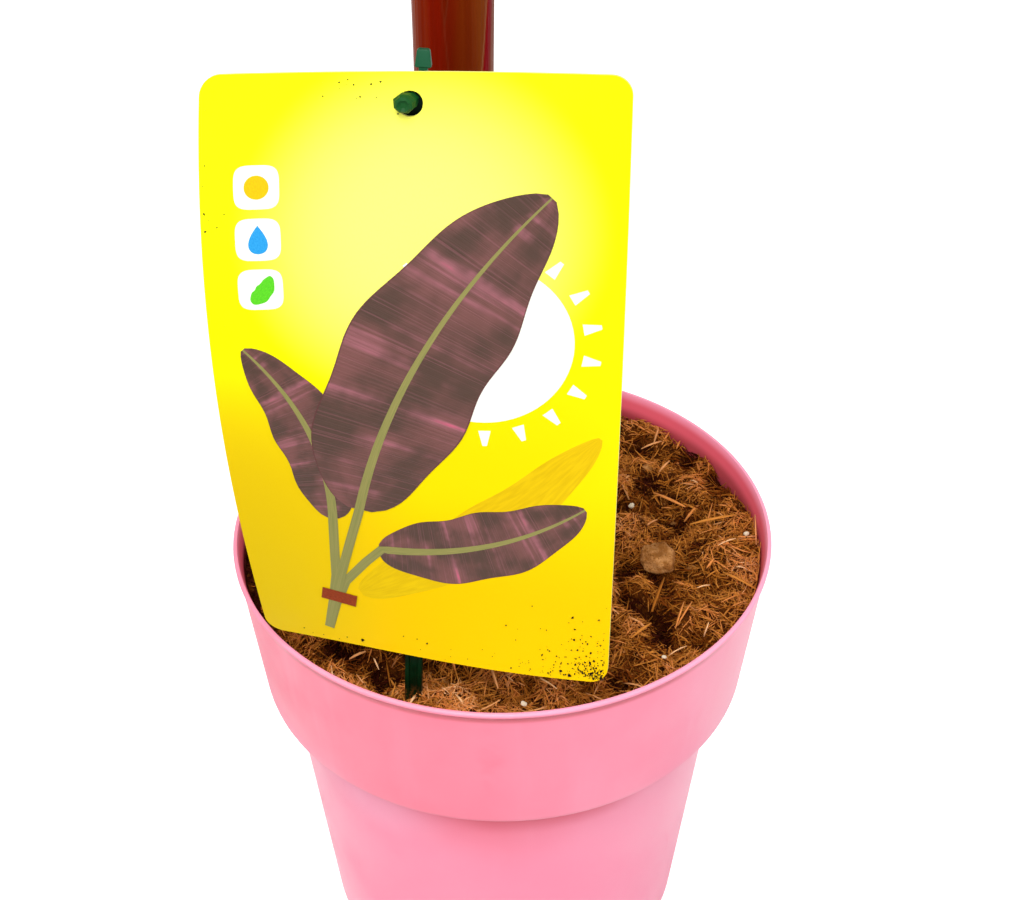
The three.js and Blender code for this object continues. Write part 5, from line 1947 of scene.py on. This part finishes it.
def stake_peg_rings(height):
    """The uneven peg through the card's hole, with a thicker end that bends to the left."""
    front = STAKE.depth / 2 + STAKE.stand_off + CARD.thickness
    turn = TAU * (np.arange(STAKE.peg_sides) + 0.5) / STAKE.peg_sides
    stages = [(STAKE.peg_start, STAKE.peg_radius, 0.0)]
    stages += [(front + reach, radius, shift) for reach, radius, shift in STAKE.peg_stages]
    rings = []
    for reach, radius, shift in stages:
        uneven = 1 + STAKE.peg_uneven * np.sin(3 * turn + 2 * reach)
        across = shift - STAKE.peg_side + radius * np.cos(turn) * uneven
        up = height + STAKE.peg_flat * radius * np.sin(turn)
        rings.append(np.column_stack([across, np.full(len(turn), -reach), up]))
    return np.stack(rings)


def make_stake():
    axes, foot, peg_height = stake_frame()
    green = make_stake_finish("stake_green", STAKE_LIT_GREEN)
    bar_top = peg_height + STAKE.bar_above_peg
    hole_height = peg_height - (CARD.hole_radius - STAKE.peg_radius - GAP)

    def add(name, finish, rings, *nodes, sharp_angle=STAKE.sharp_angle):
        points, faces = tube(rings)
        mesh = build_mesh(name, points @ axes + foot, faces, sharp_angle is not None, sharp_angle)
        add_piece(mesh, [finish], "stake_plastic", *nodes)

    add("stake_bar", green, stake_bar_rings(bar_top), "label_stake")
    add("stake_head", green, stake_head_rings(bar_top, peg_height + STAKE.head_above_peg))
    # The seat is a near-black painted shadow behind the card's hole
    add("stake_shadow_seat", make_seat_shadow_finish(), stake_seat_rings(hole_height))
    add("stake_peg", make_stake_finish("peg_green", PEG_LIT_GREEN), stake_peg_rings(peg_height), sharp_angle=None)


# Stage

CAMERA = Sizes(
    elevation=0.6842961, distance=670.702, pitch=0.6417985, yaw=0.0074271, roll=-0.0030458,
    image_width=1024, focal=1700, sensor=36, nearest=0.01,
)
# Lights: name, place, aim, size and power, in metres and watts
LIGHTS = (
    ("key_light", (-0.15, -1.15, 2.0), (0.0, 0.0, 0.2), 0.9, 34.0),
    ("front_light", (-0.1, -2.2, 0.7), (0.0, 0.0, 0.15), 1.4, 13.0),
    ("left_light", (-1.8, -0.5, 1.1), (0.0, 0.0, 0.2), 1.2, 9.0),
    ("right_light", (1.8, -0.5, 1.1), (0.0, 0.0, 0.2), 1.2, 10.5),
    ("top_light", (0.0, 0.2, 2.3), (0.0, 0.0, 0.2), 1.2, 10.0),
)
SKY = Sizes(strength=0.65, below=(0.33, 0.33, 0.33, 1), horizon=(-0.3, 0.2))
FLOOR_HALF = 4000


def make_floor():
    corners = FLOOR_HALF * np.array([(-1, -1, 0), (1, -1, 0), (1, 1, 0), (-1, 1, 0)])
    mesh = build_mesh("floor", corners, [np.array([(0, 1, 2, 3)])], smooth=False)
    mesh.materials.append(make_floor_finish())
    floor = bpy.data.objects.new("floor", mesh)
    floor.visible_diffuse = False
    bpy.context.scene.collection.objects.link(floor)


def make_lights():
    for name, place, target, size, power in LIGHTS:
        light = bpy.data.lights.new(name, "AREA")
        light.size = size
        light.energy = power
        lamp = bpy.data.objects.new(name, light)
        lamp.location = place
        lamp.rotation_euler = (Vector(target) - Vector(place)).to_track_quat("-Z", "Y").to_euler()
        bpy.context.scene.collection.objects.link(lamp)
    world = bpy.data.worlds.new("soft_sky")
    world.use_nodes = True
    tree = world.node_tree
    background = tree.nodes["Background"]
    height = split_place(tree, add_node(tree, "TexCoord").outputs["Generated"])["Z"]
    colour = mixed(tree, ramp(tree, height, *SKY.horizon), SKY.below, WHITE)
    fill(tree, background, {"Color": colour, "Strength": SKY.strength})
    bpy.context.scene.world = world
    bpy.context.scene.view_settings.view_transform = "Standard"


def make_camera():
    lens = bpy.data.cameras.new("camera")
    lens.sensor_width = CAMERA.sensor
    lens.lens = CAMERA.sensor * CAMERA.focal / CAMERA.image_width
    lens.clip_start = CAMERA.nearest
    camera = bpy.data.objects.new("camera", lens)
    eye = Vector((
        0.0,
        -CAMERA.distance * math.cos(CAMERA.elevation),
        POT.height + CAMERA.distance * math.sin(CAMERA.elevation),
    )) * MM
    forward = Vector((
        math.sin(CAMERA.yaw) * math.cos(CAMERA.pitch),
        math.cos(CAMERA.yaw) * math.cos(CAMERA.pitch),
        -math.sin(CAMERA.pitch),
    ))
    right = forward.cross(Vector((0, 0, 1))).normalized()
    up = right.cross(forward)
    side = math.cos(CAMERA.roll) * right + math.sin(CAMERA.roll) * up
    top = math.cos(CAMERA.roll) * up - math.sin(CAMERA.roll) * right
    camera.matrix_world = Matrix.Translation(eye) @ Matrix((side, top, -forward)).transposed().to_4x4()
    bpy.context.scene.collection.objects.link(camera)
    bpy.context.scene.camera = camera


make_camera()
make_floor()
make_lights()
make_pot()
make_coir_bed()
make_coir_strands()
make_coir_crumbs()
make_coir_clods()
make_stem()
make_leaves()
make_card()
make_card_print()
make_card_crumbs()
make_stake()
